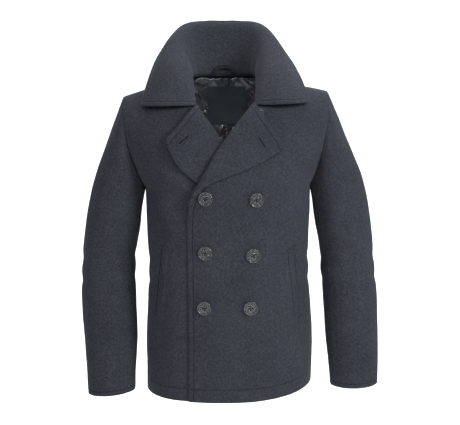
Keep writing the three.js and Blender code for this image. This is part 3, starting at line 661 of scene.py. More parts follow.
def fold_height(points, outward):
    """How far the folds move each point along its outward direction, in metres."""
    height = np.zeros(len(points))
    fade = fading(*CLOTH_FOLD_FADE)
    for view, start, bend, end, half_width, rise in FOLDS:
        across, facing = VIEWS[view]
        seen = smooth_step(outward @ np.array(facing), TURNED_AWAY, FACING)
        near = np.flatnonzero(seen)
        places = points[near][:, (across, 2)]
        bell = bell_along(bent_line(start, bend, end), places, half_width, fade)
        height[near] += CLOTH_FOLD_GAIN * rise * MM * bell * seen[near]
    return height


# The cloth is also never quite flat: it has broad soft waves, with smaller ones on them
WAVES = (
    # size across and height, in millimetres
    (95, 1.3),
    (34, 0.45),
    (13, 0.14),
)


def wave_height(points):
    height = np.zeros(len(points))
    for size, rise in WAVES:
        scale = 1 / (size * MM)
        height += rise * MM * np.array([noise.noise(Vector(point) * scale) for point in points])
    return height


print(len(FOLDS), "folds")

# %% [markdown]
# ## Borders and stitch lines
# The shown face of a panel has four borders, from corner to corner. A row of topstitching keeps a
# steady distance from some of them. It could be drawn by hand as a curve, but would then not follow
# the folds. So it is found as a contour line of the distance over the face, and turns the corners
# as a sewing machine would.


# %% Mesh as arrays
def mesh_arrays(mesh):
    count = len(mesh.polygons)
    marks = np.empty(count, np.int32)
    mesh.attributes["wall_side"].data.foreach_get("value", marks)
    verts = np.empty(4 * count, np.int32)
    edges = np.empty(4 * count, np.int32)
    mesh.loops.foreach_get("vertex_index", verts)
    mesh.loops.foreach_get("edge_index", edges)
    ends = np.empty(2 * len(mesh.edges), np.int32)
    mesh.edges.foreach_get("vertices", ends)
    return marks, verts.reshape(-1, 4), edges.reshape(-1, 4), ends.reshape(-1, 2)


def face_normals_at_verts(points, faces):
    """Area-weighted normals of the given faces at their verts, and zero elsewhere."""
    diagonal = points[faces[:, 2]] - points[faces[:, 0]]
    other = points[faces[:, 3]] - points[faces[:, 1]]
    square = np.cross(diagonal, other)
    total = np.zeros_like(points)
    for corner in range(4):
        np.add.at(total, faces[:, corner], square)
    length = np.linalg.norm(total, axis=1, keepdims=True)
    return total / np.maximum(length, 1e-12)


def border_sides(mesh, corners):
    """The shown face's borders as lists of verts, one from each corner to the next."""
    marks, _, face_edges, ends = mesh_arrays(mesh)
    shown = np.bincount(face_edges[marks == FIRST_FACE].ravel(), minlength=len(ends))
    rim = np.bincount(face_edges[marks == RIM].ravel(), minlength=len(ends))
    joined = {}
    for first, second in ends[(shown == 1) & (rim == 1)]:
        joined.setdefault(int(first), []).append(int(second))
        joined.setdefault(int(second), []).append(int(first))
    sides = []
    here, before = corners[0], None
    side = [here]
    while True:
        after = next(vert for vert in joined[here] if vert != before)
        here, before = after, here
        side.append(here)
        if here in corners:
            sides.append(side)
            side = [here]
        if here == corners[0]:
            return sides


def chosen_side(points, sides, key):
    """The side whose middle has the highest key."""
    return max(sides, key=lambda side: np.mean([key(*points[vert]) for vert in side]))


# %% Contour lines
BORDER_STEP = 0.6 * MM
SHORTEST_ROW = 4


def distance_to(points, lines):
    """Distance from each point to the nearest of several lines of points."""
    dense = []
    for line in lines:
        for first, second in zip(line, line[1:]):
            steps = max(1, int(np.linalg.norm(second - first) / BORDER_STEP))
            dense += [first + (second - first) * step / steps for step in range(steps)]
        dense.append(line[-1])
    tree = KDTree(len(dense))
    for index, point in enumerate(dense):
        tree.insert(point, index)
    tree.balance()
    return np.array([tree.find(point)[2] for point in points])


def contour(mesh, points, outward, distance, level):
    """Lines of (point, outward) on the shown face at which the distance has one level."""
    marks, _, face_edges, ends = mesh_arrays(mesh)
    first, second = ends[:, 0], ends[:, 1]
    cut = (distance[first] < level) != (distance[second] < level)
    links = {}
    for edges in face_edges[marks == FIRST_FACE]:
        crossed = [int(edge) for edge in edges if cut[edge]]
        if len(crossed) == 2:
            links.setdefault(crossed[0], []).append(crossed[1])
            links.setdefault(crossed[1], []).append(crossed[0])
    lines = []
    unused = set(links)
    starts = sorted(edge for edge in links if len(links[edge]) == 1) + sorted(links)
    for start in starts:
        if start not in unused:
            continue
        chain = [start]
        unused.discard(start)
        while True:
            onward = [edge for edge in links[chain[-1]] if edge in unused]
            if not onward:
                break
            chain.append(onward[0])
            unused.discard(onward[0])
        line = []
        for edge in chain:
            a, b = first[edge], second[edge]
            share = (level - distance[a]) / (distance[b] - distance[a])
            line.append((points[a] + (points[b] - points[a]) * share,
                         outward[a] + (outward[b] - outward[a]) * share))
        if len(line) >= SHORTEST_ROW:
            lines.append(line)
    return lines


print("contours ready")

# %% [markdown]
# ## Stitches
# A lockstitch shows as a row of short, plump beads of thread that sink into the cloth. A bump could
# fake them, but goes flat in a close view. Each bead is one small sphere with six sides, stretched
# along the row, and the rows of one panel are one mesh.

# %% Stitch beads
STITCH_PITCH = 3.7 * MM
STITCH_HALF_LENGTH = 1.45 * MM
STITCH_HALF_WIDTH = 0.42 * MM
STITCH_HALF_HEIGHT = 0.34 * MM
STITCH_SUNK = 0.12 * MM


def along_line(line, pitch):
    """Places at even steps along a line of (point, outward), each with its direction."""
    places = []
    walked, due = 0.0, pitch / 2
    for (first, out_first), (second, out_second) in zip(line, line[1:]):
        length = np.linalg.norm(second - first)
        while length > 0 and due <= walked + length:
            share = (due - walked) / length
            places.append((
                Vector(first + (second - first) * share),
                Vector(out_first + (out_second - out_first) * share).normalized(),
                Vector(second - first).normalized(),
            ))
            due += pitch
        walked += length
    return places


def turned_to(place, outward, direction):
    """A matrix whose X runs along the direction and whose Z points outwards."""
    z = outward.normalized()
    y = z.cross(direction).normalized()
    x = y.cross(z)
    turn = Matrix((x, y, z)).transposed().to_4x4()
    return Matrix.Translation(place) @ turn


def bead(bm, place, outward, direction, length=STITCH_HALF_LENGTH, width=STITCH_HALF_WIDTH,
         height=STITCH_HALF_HEIGHT):
    size = Matrix.Diagonal((length, width, height, 1))
    matrix = turned_to(place, outward, direction) @ size
    bmesh.ops.create_uvsphere(bm, u_segments=6, v_segments=5, radius=1, matrix=matrix)


def mesh_from(bm, name):
    mesh = bpy.data.meshes.new(name)
    bm.to_mesh(mesh)
    bm.free()
    shade_smooth(mesh)
    return mesh


def finish_piece(piece, material, slot, *replaced):
    """Gives a piece its material, and hides the nodes that it stands for. The slot is not used."""
    piece.data.materials.clear()
    piece.data.materials.append(material)
    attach(piece, "root")
    if replaced:
        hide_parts(*replaced)


def stitch_rows(name, lines, material, slot):
    bm = bmesh.new()
    count = 0
    for line in lines:
        for place, outward, direction in along_line(line, STITCH_PITCH):
            bead(bm, place - outward * STITCH_SUNK, outward, direction)
            count += 1
    finish_piece(link(mesh_from(bm, name), name), material, slot)
    print(name, count, "stitches")


print("a stitch every", round(STITCH_PITCH / MM, 1), "mm")

# %% Thread
THREAD_DARK = (0.006, 0.007, 0.009)
THREAD_PALE = (0.018, 0.020, 0.025)


def thread_material():
    material, tree, shader = new_material("thread")
    place = tree.nodes.new("ShaderNodeTexCoord").outputs["Object"]
    twist = add_node(tree, "ShaderNodeTexWave", Scale=620.0, Distortion=1.5, Detail=1.0)
    wire(tree, place, twist.inputs["Vector"])
    colour = ramp(tree, twist.outputs["Fac"], ((0.1, THREAD_DARK), (0.9, THREAD_PALE)))
    normal = bump(tree, twist.outputs["Fac"], 0.6, 0.1 * MM)
    wire(tree, colour, shader.inputs["Base Color"], normal, shader.inputs["Normal"])
    shader.inputs["Roughness"].default_value = 0.7
    shader.inputs["Specular IOR Level"].default_value = 0.2
    return material


thread = thread_material()
print("thread ready")

# %% [markdown]
# ## The panels of wool
# The coat is cut as fronts, a back, sleeves in two halves, a collar, lapels and pocket welts. Each
# stays a piece of its own, because a maker would cut and sew it so. Every panel is subdivided, moved
# by the folds and waves, drawn in a little where it is sewn to its neighbour, and given its
# material. Its topstitching runs at the distances that show on the coat.

# %% Panel table
# distances of the rows of stitches from the edge, in millimetres
COLLAR_STITCH = 7.0
EDGE_STITCH = 10.5
HEM_STITCH = 29.0
CUFF_STITCH = 8.5
POCKET_STITCH = 4.0
POCKET_SLANT = 0.11


def lowest(x, y, z):
    return -z


def highest(x, y, z):
    return z


def rightmost(x, y, z):
    return -x


def leftmost(x, y, z):
    return x


def left_of_slant(x, y, z):
    return x + POCKET_SLANT * z


def right_of_slant(x, y, z):
    return -x + POCKET_SLANT * z


# panel: subdivision levels, firmness of its rim, and rows of stitches as
# (distance in millimetres, the borders that the row follows)
PANELS = {
    "front_left": (3, 0.55, ((EDGE_STITCH, (rightmost,)), (HEM_STITCH, (lowest,)))),
    "front_right": (3, 0.55, ((HEM_STITCH, (lowest,)),)),
    "back": (3, 0.55, ((HEM_STITCH, (lowest,)),)),
    "sleeve_top_left": (3, 0.5, ((CUFF_STITCH, (lowest,)),)),
    "sleeve_top_right": (3, 0.5, ((CUFF_STITCH, (lowest,)),)),
    "sleeve_under_left": (3, 0.5, ((CUFF_STITCH, (lowest,)),)),
    "sleeve_under_right": (3, 0.5, ((CUFF_STITCH, (lowest,)),)),
    "collar": (3, 0.45, ((COLLAR_STITCH, (highest, leftmost, rightmost)),)),
    "lapel_left": (3, 0.45, ((EDGE_STITCH, (lowest, leftmost)),)),
    "lapel_right": (3, 0.45, ((EDGE_STITCH, (lowest, rightmost)),)),
    "pocket_welt_left": (3, 0.4, ((POCKET_STITCH, (left_of_slant,)),)),
    "pocket_welt_right": (3, 0.4, ((POCKET_STITCH, (right_of_slant,)),)),
}
SEAM_PINCH = 1.1 * MM
SEAM_REACH = 4.5 * MM
COLLAR_FOLD_SHARE = 0.6
NO_STITCH_NEAR = 50 * MM
FAR_AWAY = 1.0
print(len(PANELS), "wool panels")


# %% Panel maker
def coarse_corners(node):
    """Places of the shown face's four corners."""
    bm = wall_squares(node)
    shown = shown_side(bm, node)
    side = bm.faces.layers.int["wall_side"]
    bm.verts.index_update()
    corners = [
        vert.index for vert in bm.verts
        if len(vert.link_edges) == 3 and any(face[side] == shown for face in vert.link_faces)
    ]
    bm.free()
    return corners


def outward_everywhere(points, marks, faces):
    """Each vert's outward direction, borrowed from the shown face for the rest of the wall."""
    outward = face_normals_at_verts(points, faces[marks == FIRST_FACE])
    shown = np.flatnonzero(np.abs(outward).sum(1) > 0)
    tree = KDTree(len(shown))
    for index in shown:
        tree.insert(points[index], int(index))
    tree.balance()
    source = np.arange(len(points))
    for index in np.flatnonzero(np.abs(outward).sum(1) == 0):
        source[index] = tree.find(points[index])[1]
    return outward[source], source


# %% One panel
QUICK = 0


def make_panel(node, levels, firmness, rows):
    """The node's soft cloth, with the lines of its stitches."""
    mesh = soft_panel(node, levels - QUICK, firmness)
    marks, faces, _, _ = mesh_arrays(mesh)
    points = coordinates(mesh)
    outward, source = outward_everywhere(points, marks, faces)
    shown = np.unique(faces[marks == FIRST_FACE])
    move = np.zeros(len(points))
    move[shown] = fold_height(points[shown], outward[shown]) + wave_height(points[shown])
    if node == "collar":
        move[shown] *= COLLAR_FOLD_SHARE
    sides = border_sides(mesh, coarse_corners(node))
    stitched = [chosen_side(points, sides, key) for _, keys in rows for key in keys]
    sewn = [points[side] for side in sides if side not in stitched]
    if sewn:
        gap = distance_to(points[shown], sewn)
        move[shown] -= SEAM_PINCH * np.exp(-((gap / SEAM_REACH) ** 2))
    points = points + outward * move[source][:, None]
    set_coordinates(mesh, points)
    stitch_line = np.full(len(points), NO_STITCH_NEAR)
    lines = []
    for distance_mm, keys in rows:
        level = distance_mm * MM
        border = [points[chosen_side(points, sides, key)] for key in keys]
        distance = np.full(len(points), FAR_AWAY)
        distance[shown] = distance_to(points[shown], border)
        offset = distance - level
        stitch_line = np.where(np.abs(offset) < np.abs(stitch_line), offset, stitch_line)
        lines += contour(mesh, points, outward, distance, level)
    attribute = mesh.attributes.new("stitch_line", "FLOAT", "POINT")
    attribute.data.foreach_set("value", stitch_line.astype(np.float32))
    shade_smooth(mesh)
    return mesh, lines


# %% Wool panels
panels = {}
for node, (levels, firmness, rows) in PANELS.items():
    panel_mesh, stitch_lines = make_panel(node, levels, firmness, rows)
    panels[node] = link(panel_mesh, node + "_wool")
    finish_piece(panels[node], wool, "melton_wool", node)
    if stitch_lines:
        stitch_rows(f"stitches_{node}", stitch_lines, thread, "melton_wool")

# %% [markdown]
# ## Lining
# The lining is thin black satin, quilted in diamonds. It is gathered where it meets the neck seam,
# so small hard wrinkles fan out there and catch the light, and a pleat opens under the label for
# ease. A bump would do for the quilting but not for the wrinkles, which cross the edge of the
# cloth. So both are real: the wrinkles are narrow folds given one by one, and the quilting is a
# formula that swells inside each diamond and sinks along its lines.

# %% Lining folds
# start, bend, end (across and up, in millimetres), half-width, height
LINING_FOLDS = (
    ((-72, 26), (-54, 25), (-34, 17), 3.0, 2.0),
    ((-70, 20), (-54, 15), (-38, 14), 2.2, -1.9),
    ((-58, 8), (-46, 10), (-35, 20), 2.6, 1.6),
    ((-73, 15), (-62, 11), (-52, 6), 2.2, 1.3),
    ((-72, 7), (-62, 5), (-50, -3), 2.0, -1.3),
    ((-70, -8), (-62, -20), (-60, -32), 2.6, 1.6),
    ((-72, -18), (-60, -36), (-46, -48), 2.4, -1.7),
    ((-66, -30), (-56, -44), (-44, -52), 2.4, 1.9),
    ((-70, -44), (-58, -58), (-46, -64), 3.4, 1.4),
    ((-30, 20), (-24, 14), (-25, 8), 2.2, 1.3),
    ((-21, 24), (-16, 16), (-19, 6), 2.0, -1.2),
    ((-12, 24), (-9, 16), (-11, 6), 2.2, 1.4),
    ((-2, 26), (0, 16), (-1, 4), 1.8, -1.5),
    ((5, 26), (6, 16), (4, 4), 2.0, 1.2),
    ((14, 23), (20, 16), (27, 9), 2.2, -1.2),
    ((24, 24), (34, 20), (48, 18), 3.0, 1.5),
    ((42, 24), (56, 22), (70, 25), 2.6, 1.9),
    ((46, 18), (60, 16), (72, 17), 2.0, -1.6),
    ((46, 14), (60, 4), (74, -8), 2.4, 1.3),
    ((50, 4), (60, -8), (72, -20), 2.2, -1.2),
    ((48, -12), (58, -24), (70, -32), 2.8, 1.2),
    ((-3, -86), (-10, -98), (-14, -116), 2.2, -2.0),
    ((-8, -88), (-16, -100), (-22, -118), 3.4, 1.2),
    ((1, -84), (6, -100), (5, -122), 2.2, -2.2),
    ((-4, -96), (-5, -108), (-4, -124), 3.0, 1.6),
    ((8, -96), (16, -104), (24, -100), 2.4, 1.4),
    ((10, -106), (16, -112), (26, -110), 2.2, -1.3),
)
# At the neck seam the lining is drawn up towards the collar and forwards
GATHER_ZONE = (10 * MM, 27 * MM)
GATHER_RISE = 15 * MM
GATHER_FORWARD = 6 * MM
PUCKER_GAIN = 1.7
QUILT_SPACING = 50 * MM
QUILT_RISE = 1.3 * MM
QUILT_GROOVE = 0.9 * MM
QUILT_GROOVE_WIDTH = 1.8 * MM
PUCKER_FADE = (0.06, 0.6)
PUCKER_REACH = 60 * MM


def pucker_height(points):
    """Height of the lining's narrow folds at each point, in metres."""
    height = np.zeros(len(points))
    fade = fading(*PUCKER_FADE)
    for start, bend, end, half_width, rise in LINING_FOLDS:
        line = bent_line(start, bend, end)
        away = np.abs(points[:, (0, 2)] - line.mean(0)).max(1)
        near = np.flatnonzero(away < PUCKER_REACH)
        height[near] += rise * MM * bell_along(line, points[near][:, (0, 2)], half_width, fade)
    return PUCKER_GAIN * height


def quilt_lines(points):
    """Distance to the nearest slanted line of quilting, across the cloth."""
    gaps = []
    for sign in (1, -1):
        slant = points[:, 0] + sign * points[:, 2]
        turns = slant / QUILT_SPACING
        gaps.append(np.abs(turns - np.round(turns)) * QUILT_SPACING / math.sqrt(2))
    return np.minimum(*gaps)


print(len(LINING_FOLDS), "folds in the lining")

# %% Satin
SATIN_BLACK = (0.024, 0.0275, 0.033)
SATIN_GREY = (0.066, 0.073, 0.086)


def satin_material():
    material, tree, shader = new_material("quilted_satin")
    place = tree.nodes.new("ShaderNodeTexCoord").outputs["Object"]
    weave = add_node(tree, "ShaderNodeTexWave", Scale=900.0, Distortion=0.6, Detail=1.0)
    wire(tree, place, weave.inputs["Vector"])
    clouds = noise_texture(tree, place, 38, detail=4, roughness=0.6)
    colour = ramp(tree, clouds, ((0.3, SATIN_BLACK), (0.7, SATIN_GREY)))
    crinkle = noise_texture(tree, place, 150, detail=3, roughness=0.6)
    normal = bump(tree, crinkle, 0.35, 0.9 * MM)
    normal = bump(tree, weave.outputs["Fac"], 0.2, 0.06 * MM, normal)
    gloss = ramp(tree, clouds, ((0.3, (0.28, 0.28, 0.28)), (0.7, (0.38, 0.38, 0.38))))
    wire(tree, colour, shader.inputs["Base Color"], normal, shader.inputs["Normal"],
         gloss, shader.inputs["Roughness"])
    shader.inputs["Specular IOR Level"].default_value = 1.0
    return material


satin = satin_material()
print("satin ready")

# %% Lining
LINING_LEVELS = 3
LINING_FIRMNESS = 0.4

lining_mesh = soft_panel("lining_back", LINING_LEVELS, LINING_FIRMNESS)
marks, faces, _, _ = mesh_arrays(lining_mesh)
points = coordinates(lining_mesh)
gathered = smooth_step(points[:, 2], *GATHER_ZONE)
points[:, 2] += GATHER_RISE * gathered
points[:, 1] -= GATHER_FORWARD * gathered
outward, source = outward_everywhere(points, marks, faces)
slant = np.pi * points[:, 0] / QUILT_SPACING
rise = np.pi * points[:, 2] / QUILT_SPACING
cushion = QUILT_RISE * np.sqrt(np.abs(np.sin(slant + rise) * np.sin(slant - rise)))
groove = QUILT_GROOVE * np.exp(-((quilt_lines(points) / QUILT_GROOVE_WIDTH) ** 2))
height = pucker_height(points) + cushion - groove
set_coordinates(lining_mesh, points + outward * height[source][:, None])
shade_smooth(lining_mesh)
lining = link(lining_mesh, "lining_back_satin")
finish_piece(lining, satin, "quilted_satin", "lining_back")

# %% [markdown]
# ## Neck label
# The label is a plain square of black woven cloth, sewn on all round. It could be a flat card, but
# cloth is soft and has rounded edges, so it is made as one more panel like those of wool. Two wave
# textures at right angles make its weave, so no picture is needed.

# %% Woven label
LABEL_BLACK = (0.034, 0.043, 0.047)
LABEL_GREY = (0.072, 0.089, 0.095)
LABEL_STITCH = 2.2


def label_material():
    material, tree, shader = new_material("woven_label")
    place = tree.nodes.new("ShaderNodeTexCoord").outputs["Object"]
    warp = add_node(tree, "ShaderNodeTexWave", Scale=560.0, Distortion=0.4, Detail=1.0)
    weft = add_node(tree, "ShaderNodeTexWave", Scale=420.0, Distortion=0.4, Detail=1.0,
                    bands_direction="Z")
    wire(tree, place, warp.inputs["Vector"], place, weft.inputs["Vector"])
    threads = maths(tree, "MULTIPLY", warp.outputs["Fac"], weft.outputs["Fac"])
    clouds = noise_texture(tree, place, 24, detail=3)
    mixed = maths(tree, "MULTIPLY_ADD", threads, 0.5, maths(tree, "MULTIPLY", clouds, 0.5))
    colour = ramp(tree, mixed, ((0.2, LABEL_BLACK), (0.75, LABEL_GREY)))
    normal = bump(tree, threads, 0.5, 0.15 * MM)
    wire(tree, colour, shader.inputs["Base Color"], normal, shader.inputs["Normal"])
    shader.inputs["Roughness"].default_value = 0.62
    shader.inputs["Specular IOR Level"].default_value = 0.35
    return material


woven = label_material()
label_mesh, label_lines = make_panel("neck_label", 3, 0.6, (
    (LABEL_STITCH, (lowest, highest, leftmost, rightmost)),
))
label = link(label_mesh, "neck_label_woven")
finish_piece(label, woven, "woven_label", "neck_label")
stitch_rows("stitches_neck_label", label_lines, thread, "woven_label")

# %% [markdown]
# ## Hanger loop
# The coat hangs from a strip of its own wool, folded and sewn in under the collar. A curve with a
# bevel could twist where the strip bends, so its cross-section is spun as half a round ring, and
# the ring is then lowered to the flat arch of the real loop.

# %% Hanger loop
LOOP_OUTER = 27 * MM
LOOP_BAND = 10 * MM
LOOP_RISE = 19 * MM
LOOP_TOP_BAND = 9 * MM
LOOP_HALF_THICKNESS = 1.1 * MM
LOOP_STEPS = 56
LOOP_OUTLINE_STEPS = 20
LOOP_SQUARENESS = 0.35
LOOP_FULLNESS = 0.8
LOOP_UNEVENNESS = 0.5 * MM
LOOP_WAVES = 90


def loop_profile():
    """The strip's cross-section: an oval of points, wide across and thin in depth."""
    outline = []
    for step in range(LOOP_OUTLINE_STEPS):
        angle = 2 * math.pi * step / LOOP_OUTLINE_STEPS
        across = math.copysign(abs(math.cos(angle)) ** LOOP_SQUARENESS, math.cos(angle))
        depth = math.copysign(abs(math.sin(angle)) ** LOOP_FULLNESS, math.sin(angle))
        outline.append((LOOP_OUTER - LOOP_BAND * (0.5 - 0.5 * across), LOOP_HALF_THICKNESS * depth))
    return outline


def flattened(x, z):
    """A place on half a round ring, moved to the lower arch of the loop."""
    angle = math.atan2(z, x)
    share = (math.hypot(x, z) - LOOP_OUTER + LOOP_BAND) / LOOP_BAND
    inner = LOOP_RISE - LOOP_TOP_BAND
    return x, math.sin(angle) * (inner + LOOP_TOP_BAND * share)


loop_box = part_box("hanger_loop")
loop_middle = [(low + high) / 2 for low, high in zip(*loop_box)]
bm = bmesh.new()
ring = [bm.verts.new((across, depth, 0)) for across, depth in loop_profile()]
first_end = bm.faces.new(ring)
bmesh.ops.spin(bm, geom=[first_end, *ring, *first_end.edges], cent=(0, 0, 0), axis=(0, -1, 0),
               angle=math.pi, steps=LOOP_STEPS, use_merge=False)
for vert in bm.verts:
    vert.co.x, vert.co.z = flattened(vert.co.x, vert.co.z)
    vert.co.y += LOOP_UNEVENNESS * noise.noise(vert.co * LOOP_WAVES)
bmesh.ops.recalc_face_normals(bm, faces=bm.faces)
bmesh.ops.translate(bm, verts=bm.verts, vec=(loop_middle[0], loop_middle[1], loop_box[0][2]))
hanger = link(mesh_from(bm, "hanger_loop"), "hanger_loop_wool")
finish_piece(hanger, wool, "melton_wool", "hanger_loop")
print("loop", len(hanger.data.polygons), "faces")

# %% [markdown]
# ## Buttons
# A coat button is moulded, and round all the way, so its outline is spun as on a lathe: a shallow
# back, a rounded rim and a dished face with a small well for the thread. Four holes are drilled with
# a Boolean modifier, which is simpler than leaving them out of the spin. A twisted rope runs round
# the face and a plain anchor stands on it, both common on coats of this kind. The buttons are
# seated by casting a ray onto the creased cloth, and dark thread crosses between their holes.

# %% Button outline
# the buttons are drawn in millimetres and scaled when they are seated
BUTTON_OUTLINE = (
    # radius and height
    (0.0, 0.3), (11.0, 0.35), (13.2, 1.3), (14.7, 2.4), (15.0, 3.1), (14.7, 3.8), (14.1, 4.2),
    (13.2, 4.15), (12.6, 3.6), (12.2, 2.7), (11.8, 2.45), (6.2, 2.45), (5.7, 2.8), (5.2, 2.8),
    (4.8, 2.2), (4.4, 2.05), (0.0, 2.0),
)
HOLE_RADIUS = 1.3
HOLE_OFFSET = 2.5
ROPE_RADIUS = 10.6
ROPE_STRANDS = 30
FACE_HEIGHT = 2.45
RIM_ROUNDING = 0.25
LATHE_STEPS = 72
SMALLEST_GAP = 0.002
DRILL_SIDES = 20
DRILL_LENGTH = 12
DRILL_TAPER = 1.15


def plain_disc():
    bm = bmesh.new()
    outline = [bm.verts.new((radius, 0, height)) for radius, height in BUTTON_OUTLINE]
    for pair in zip(outline, outline[1:]):
        bm.edges.new(pair)
    bmesh.ops.bevel(bm, geom=outline[1:-1], offset=RIM_ROUNDING, segments=3,
                    profile=0.5, affect="VERTICES", material=-1)
    bmesh.ops.spin(bm, geom=[*bm.verts, *bm.edges], cent=(0, 0, 0), axis=(0, 0, 1),
                   angle=2 * math.pi, steps=LATHE_STEPS, use_merge=True)
    bmesh.ops.remove_doubles(bm, verts=bm.verts, dist=SMALLEST_GAP)
    bmesh.ops.recalc_face_normals(bm, faces=bm.faces)
    return mesh_from(bm, "button_disc")


def hole_cutters():
    bm = bmesh.new()
    for x, y in ((1, 1), (-1, 1), (-1, -1), (1, -1)):
        place = Matrix.Translation((x * HOLE_OFFSET, y * HOLE_OFFSET, FACE_HEIGHT))
        bmesh.ops.create_cone(bm, cap_ends=True, segments=DRILL_SIDES, radius1=HOLE_RADIUS,
                              radius2=HOLE_RADIUS * DRILL_TAPER, depth=DRILL_LENGTH, matrix=place)
    return mesh_from(bm, "button_cutters")


def drilled_disc():
    """The disc with its holes. Without use_self the modifier returned the wrong solid."""
    disc = link(plain_disc(), "disc")
    cutters = link(hole_cutters(), "cutters")
    cut = disc.modifiers.new("holes", "BOOLEAN")
    cut.operation = "DIFFERENCE"
    cut.object = cutters
    cut.use_self = True
    graph = bpy.context.evaluated_depsgraph_get()
    result = bpy.data.meshes.new_from_object(disc.evaluated_get(graph))
    bpy.data.objects.remove(disc)
    bpy.data.objects.remove(cutters)
    return result


drilled = drilled_disc()
print("button disc", len(drilled.polygons), "faces")

# %% Button relief
RELIEF_LIFT = 0.25
ROPE_LAY = 42
ROPE_STRAND_SIZE = (0.55, 1.2, 0.6, 1)
ANCHOR_ARCS = (
    # centre up the face, radius, from and to in degrees, thickness, steps
    (8.0, 0.95, 0, 360, 0.5, 12),
    (-1.6, 6.8, 195, 345, 0.75, 14),
)
ANCHOR_BARS = (
    # start, end (across and up the face), radius, share of it that is left at the end
    ((-3.6, 6.2), (3.6, 6.2), 0.65, 1.0),
    ((0, 7.0), (0, 5.4), 0.7, 1.0),
    ((0, -5.2), (0, -8.0), 0.75, 1.0),
)
ANCHOR_SIDE_BARS = (
    ((6.3, -2.6), (8.6, -3.4), 0.95, 0.4),
    ((6.3, -2.6), (5.0, -1.0), 0.95, 0.4),
    ((6.9, 1.4), (7.6, 3.8), 0.8, 0.6),
)
THREAD_RADIUS = 0.2
THREAD_SPACING = 0.28
THREAD_CROSSING = 0.25
THREAD_PATH = (
    # share of the way from the middle to a hole, and height
    (-1.1, 0.6), (-0.85, 1.9), (-0.5, 2.5), (0, 2.75), (0.5, 2.5), (0.85, 1.9), (1.1, 0.6),
)


def bar(bm, start, end, radius, taper=1.0):
    """A round bar between two places on the button's face."""
    start, end = Vector(start), Vector(end)
    turn = (end - start).to_track_quat("Z", "Y").to_matrix().to_4x4()
    matrix = Matrix.Translation((start + end) / 2) @ turn
    bmesh.ops.create_cone(bm, cap_ends=True, segments=10, radius1=radius, radius2=radius * taper,
                          depth=(end - start).length, matrix=matrix)
    for place, size in ((start, radius), (end, radius * taper)):
        bmesh.ops.create_uvsphere(bm, u_segments=10, v_segments=6, radius=size,
                                  matrix=Matrix.Translation(place))


def arc(bm, centre, radius, start, end, thickness, steps):
    """A round bar bent along an arc on the button's face."""
    angles = [math.radians(start + (end - start) * step / steps) for step in range(steps + 1)]
    places = [(centre[0] + radius * math.cos(angle), centre[1] + radius * math.sin(angle), centre[2])
              for angle in angles]
    for first, second in zip(places, places[1:]):
        bar(bm, first, second, thickness)


def rope(bm, level):
    """Slanted strands all round the face, as in a twisted rope."""
    for strand in range(ROPE_STRANDS):
        angle = 2 * math.pi * strand / ROPE_STRANDS
        place = Matrix.Rotation(angle, 4, "Z") @ Matrix.Translation((ROPE_RADIUS, 0, level))
        lay = place @ Matrix.Rotation(math.radians(ROPE_LAY), 4, "Z")
        matrix = lay @ Matrix.Diagonal(ROPE_STRAND_SIZE)
        bmesh.ops.create_uvsphere(bm, u_segments=10, v_segments=8, radius=1, matrix=matrix)


def anchor(bm, level):
    for up, radius, start, end, thickness, steps in ANCHOR_ARCS:
        arc(bm, (0, up, level), radius, start, end, thickness, steps)
    for start, end, radius, taper in ANCHOR_BARS:
        bar(bm, (*start, level), (*end, level), radius, taper)
    for side in (-1, 1):
        for start, end, radius, taper in ANCHOR_SIDE_BARS:
            bar(bm, (side * start[0], start[1], level), (side * end[0], end[1], level), radius, taper)


def thread_cross(bm):
    """Three strands each way over the middle of the button, dipping into the holes."""
    for direction in (1, -1):
        for strand in (-1, 0, 1):
            shift = Vector((-direction, 1, 0)) * THREAD_SPACING * strand
            places = []
            for share, height in THREAD_PATH:
                lift = height if share else height + THREAD_CROSSING * direction
                reach = HOLE_OFFSET * share
                places.append(Vector((reach, direction * reach, lift)) + shift)
            for first, second in zip(places, places[1:]):
                bar(bm, first, second, THREAD_RADIUS)


bm = bmesh.new()
rope(bm, FACE_HEIGHT + RELIEF_LIFT)
anchor(bm, FACE_HEIGHT + RELIEF_LIFT)
relief_mesh = mesh_from(bm, "button_relief")
bm = bmesh.new()
thread_cross(bm)
cross_mesh = mesh_from(bm, "button_thread")
print("relief", len(relief_mesh.polygons), "faces, thread", len(cross_mesh.polygons), "faces")

# %% Button plastic
PLASTIC_DARK = (0.0202, 0.0223, 0.0252)
PLASTIC_MID = (0.0331, 0.036, 0.0403)
PLASTIC_PALE = (0.0504, 0.054, 0.059)
MARBLING_SCALE = 240
WEAR_SCALE = 1400


def plastic_material():
    material, tree, shader = new_material("button_plastic")
    place = tree.nodes.new("ShaderNodeTexCoord").outputs["Object"]
    marbling = noise_texture(tree, place, MARBLING_SCALE, detail=4, roughness=0.65)
    colour = ramp(tree, marbling, (
        (0.32, PLASTIC_DARK),
        (0.5, PLASTIC_MID),
        (0.7, PLASTIC_PALE),
    ))
    wear = noise_texture(tree, place, WEAR_SCALE, detail=2)
    gloss = ramp(tree, wear, ((0.3, (0.16, 0.16, 0.16)), (0.7, (0.28, 0.28, 0.28))))
    normal = bump(tree, wear, 0.12, 0.05 * MM)
    wire(tree, colour, shader.inputs["Base Color"], gloss, shader.inputs["Roughness"],
         normal, shader.inputs["Normal"])
    shader.inputs["Specular IOR Level"].default_value = 0.7
    shader.inputs["Coat Weight"].default_value = 0.5
    shader.inputs["Coat Roughness"].default_value = 0.12
    return material


plastic = plastic_material()
print("plastic ready")

# %% Seating on the cloth
# turns of the buttons about their own axes, in degrees
BUTTON_TURNS = (14, -22, 31, -8, 47, -35, 60)
CAST_HEIGHT = 30 * MM
BUTTON_GAP = 0.6 * MM
TREES = {}


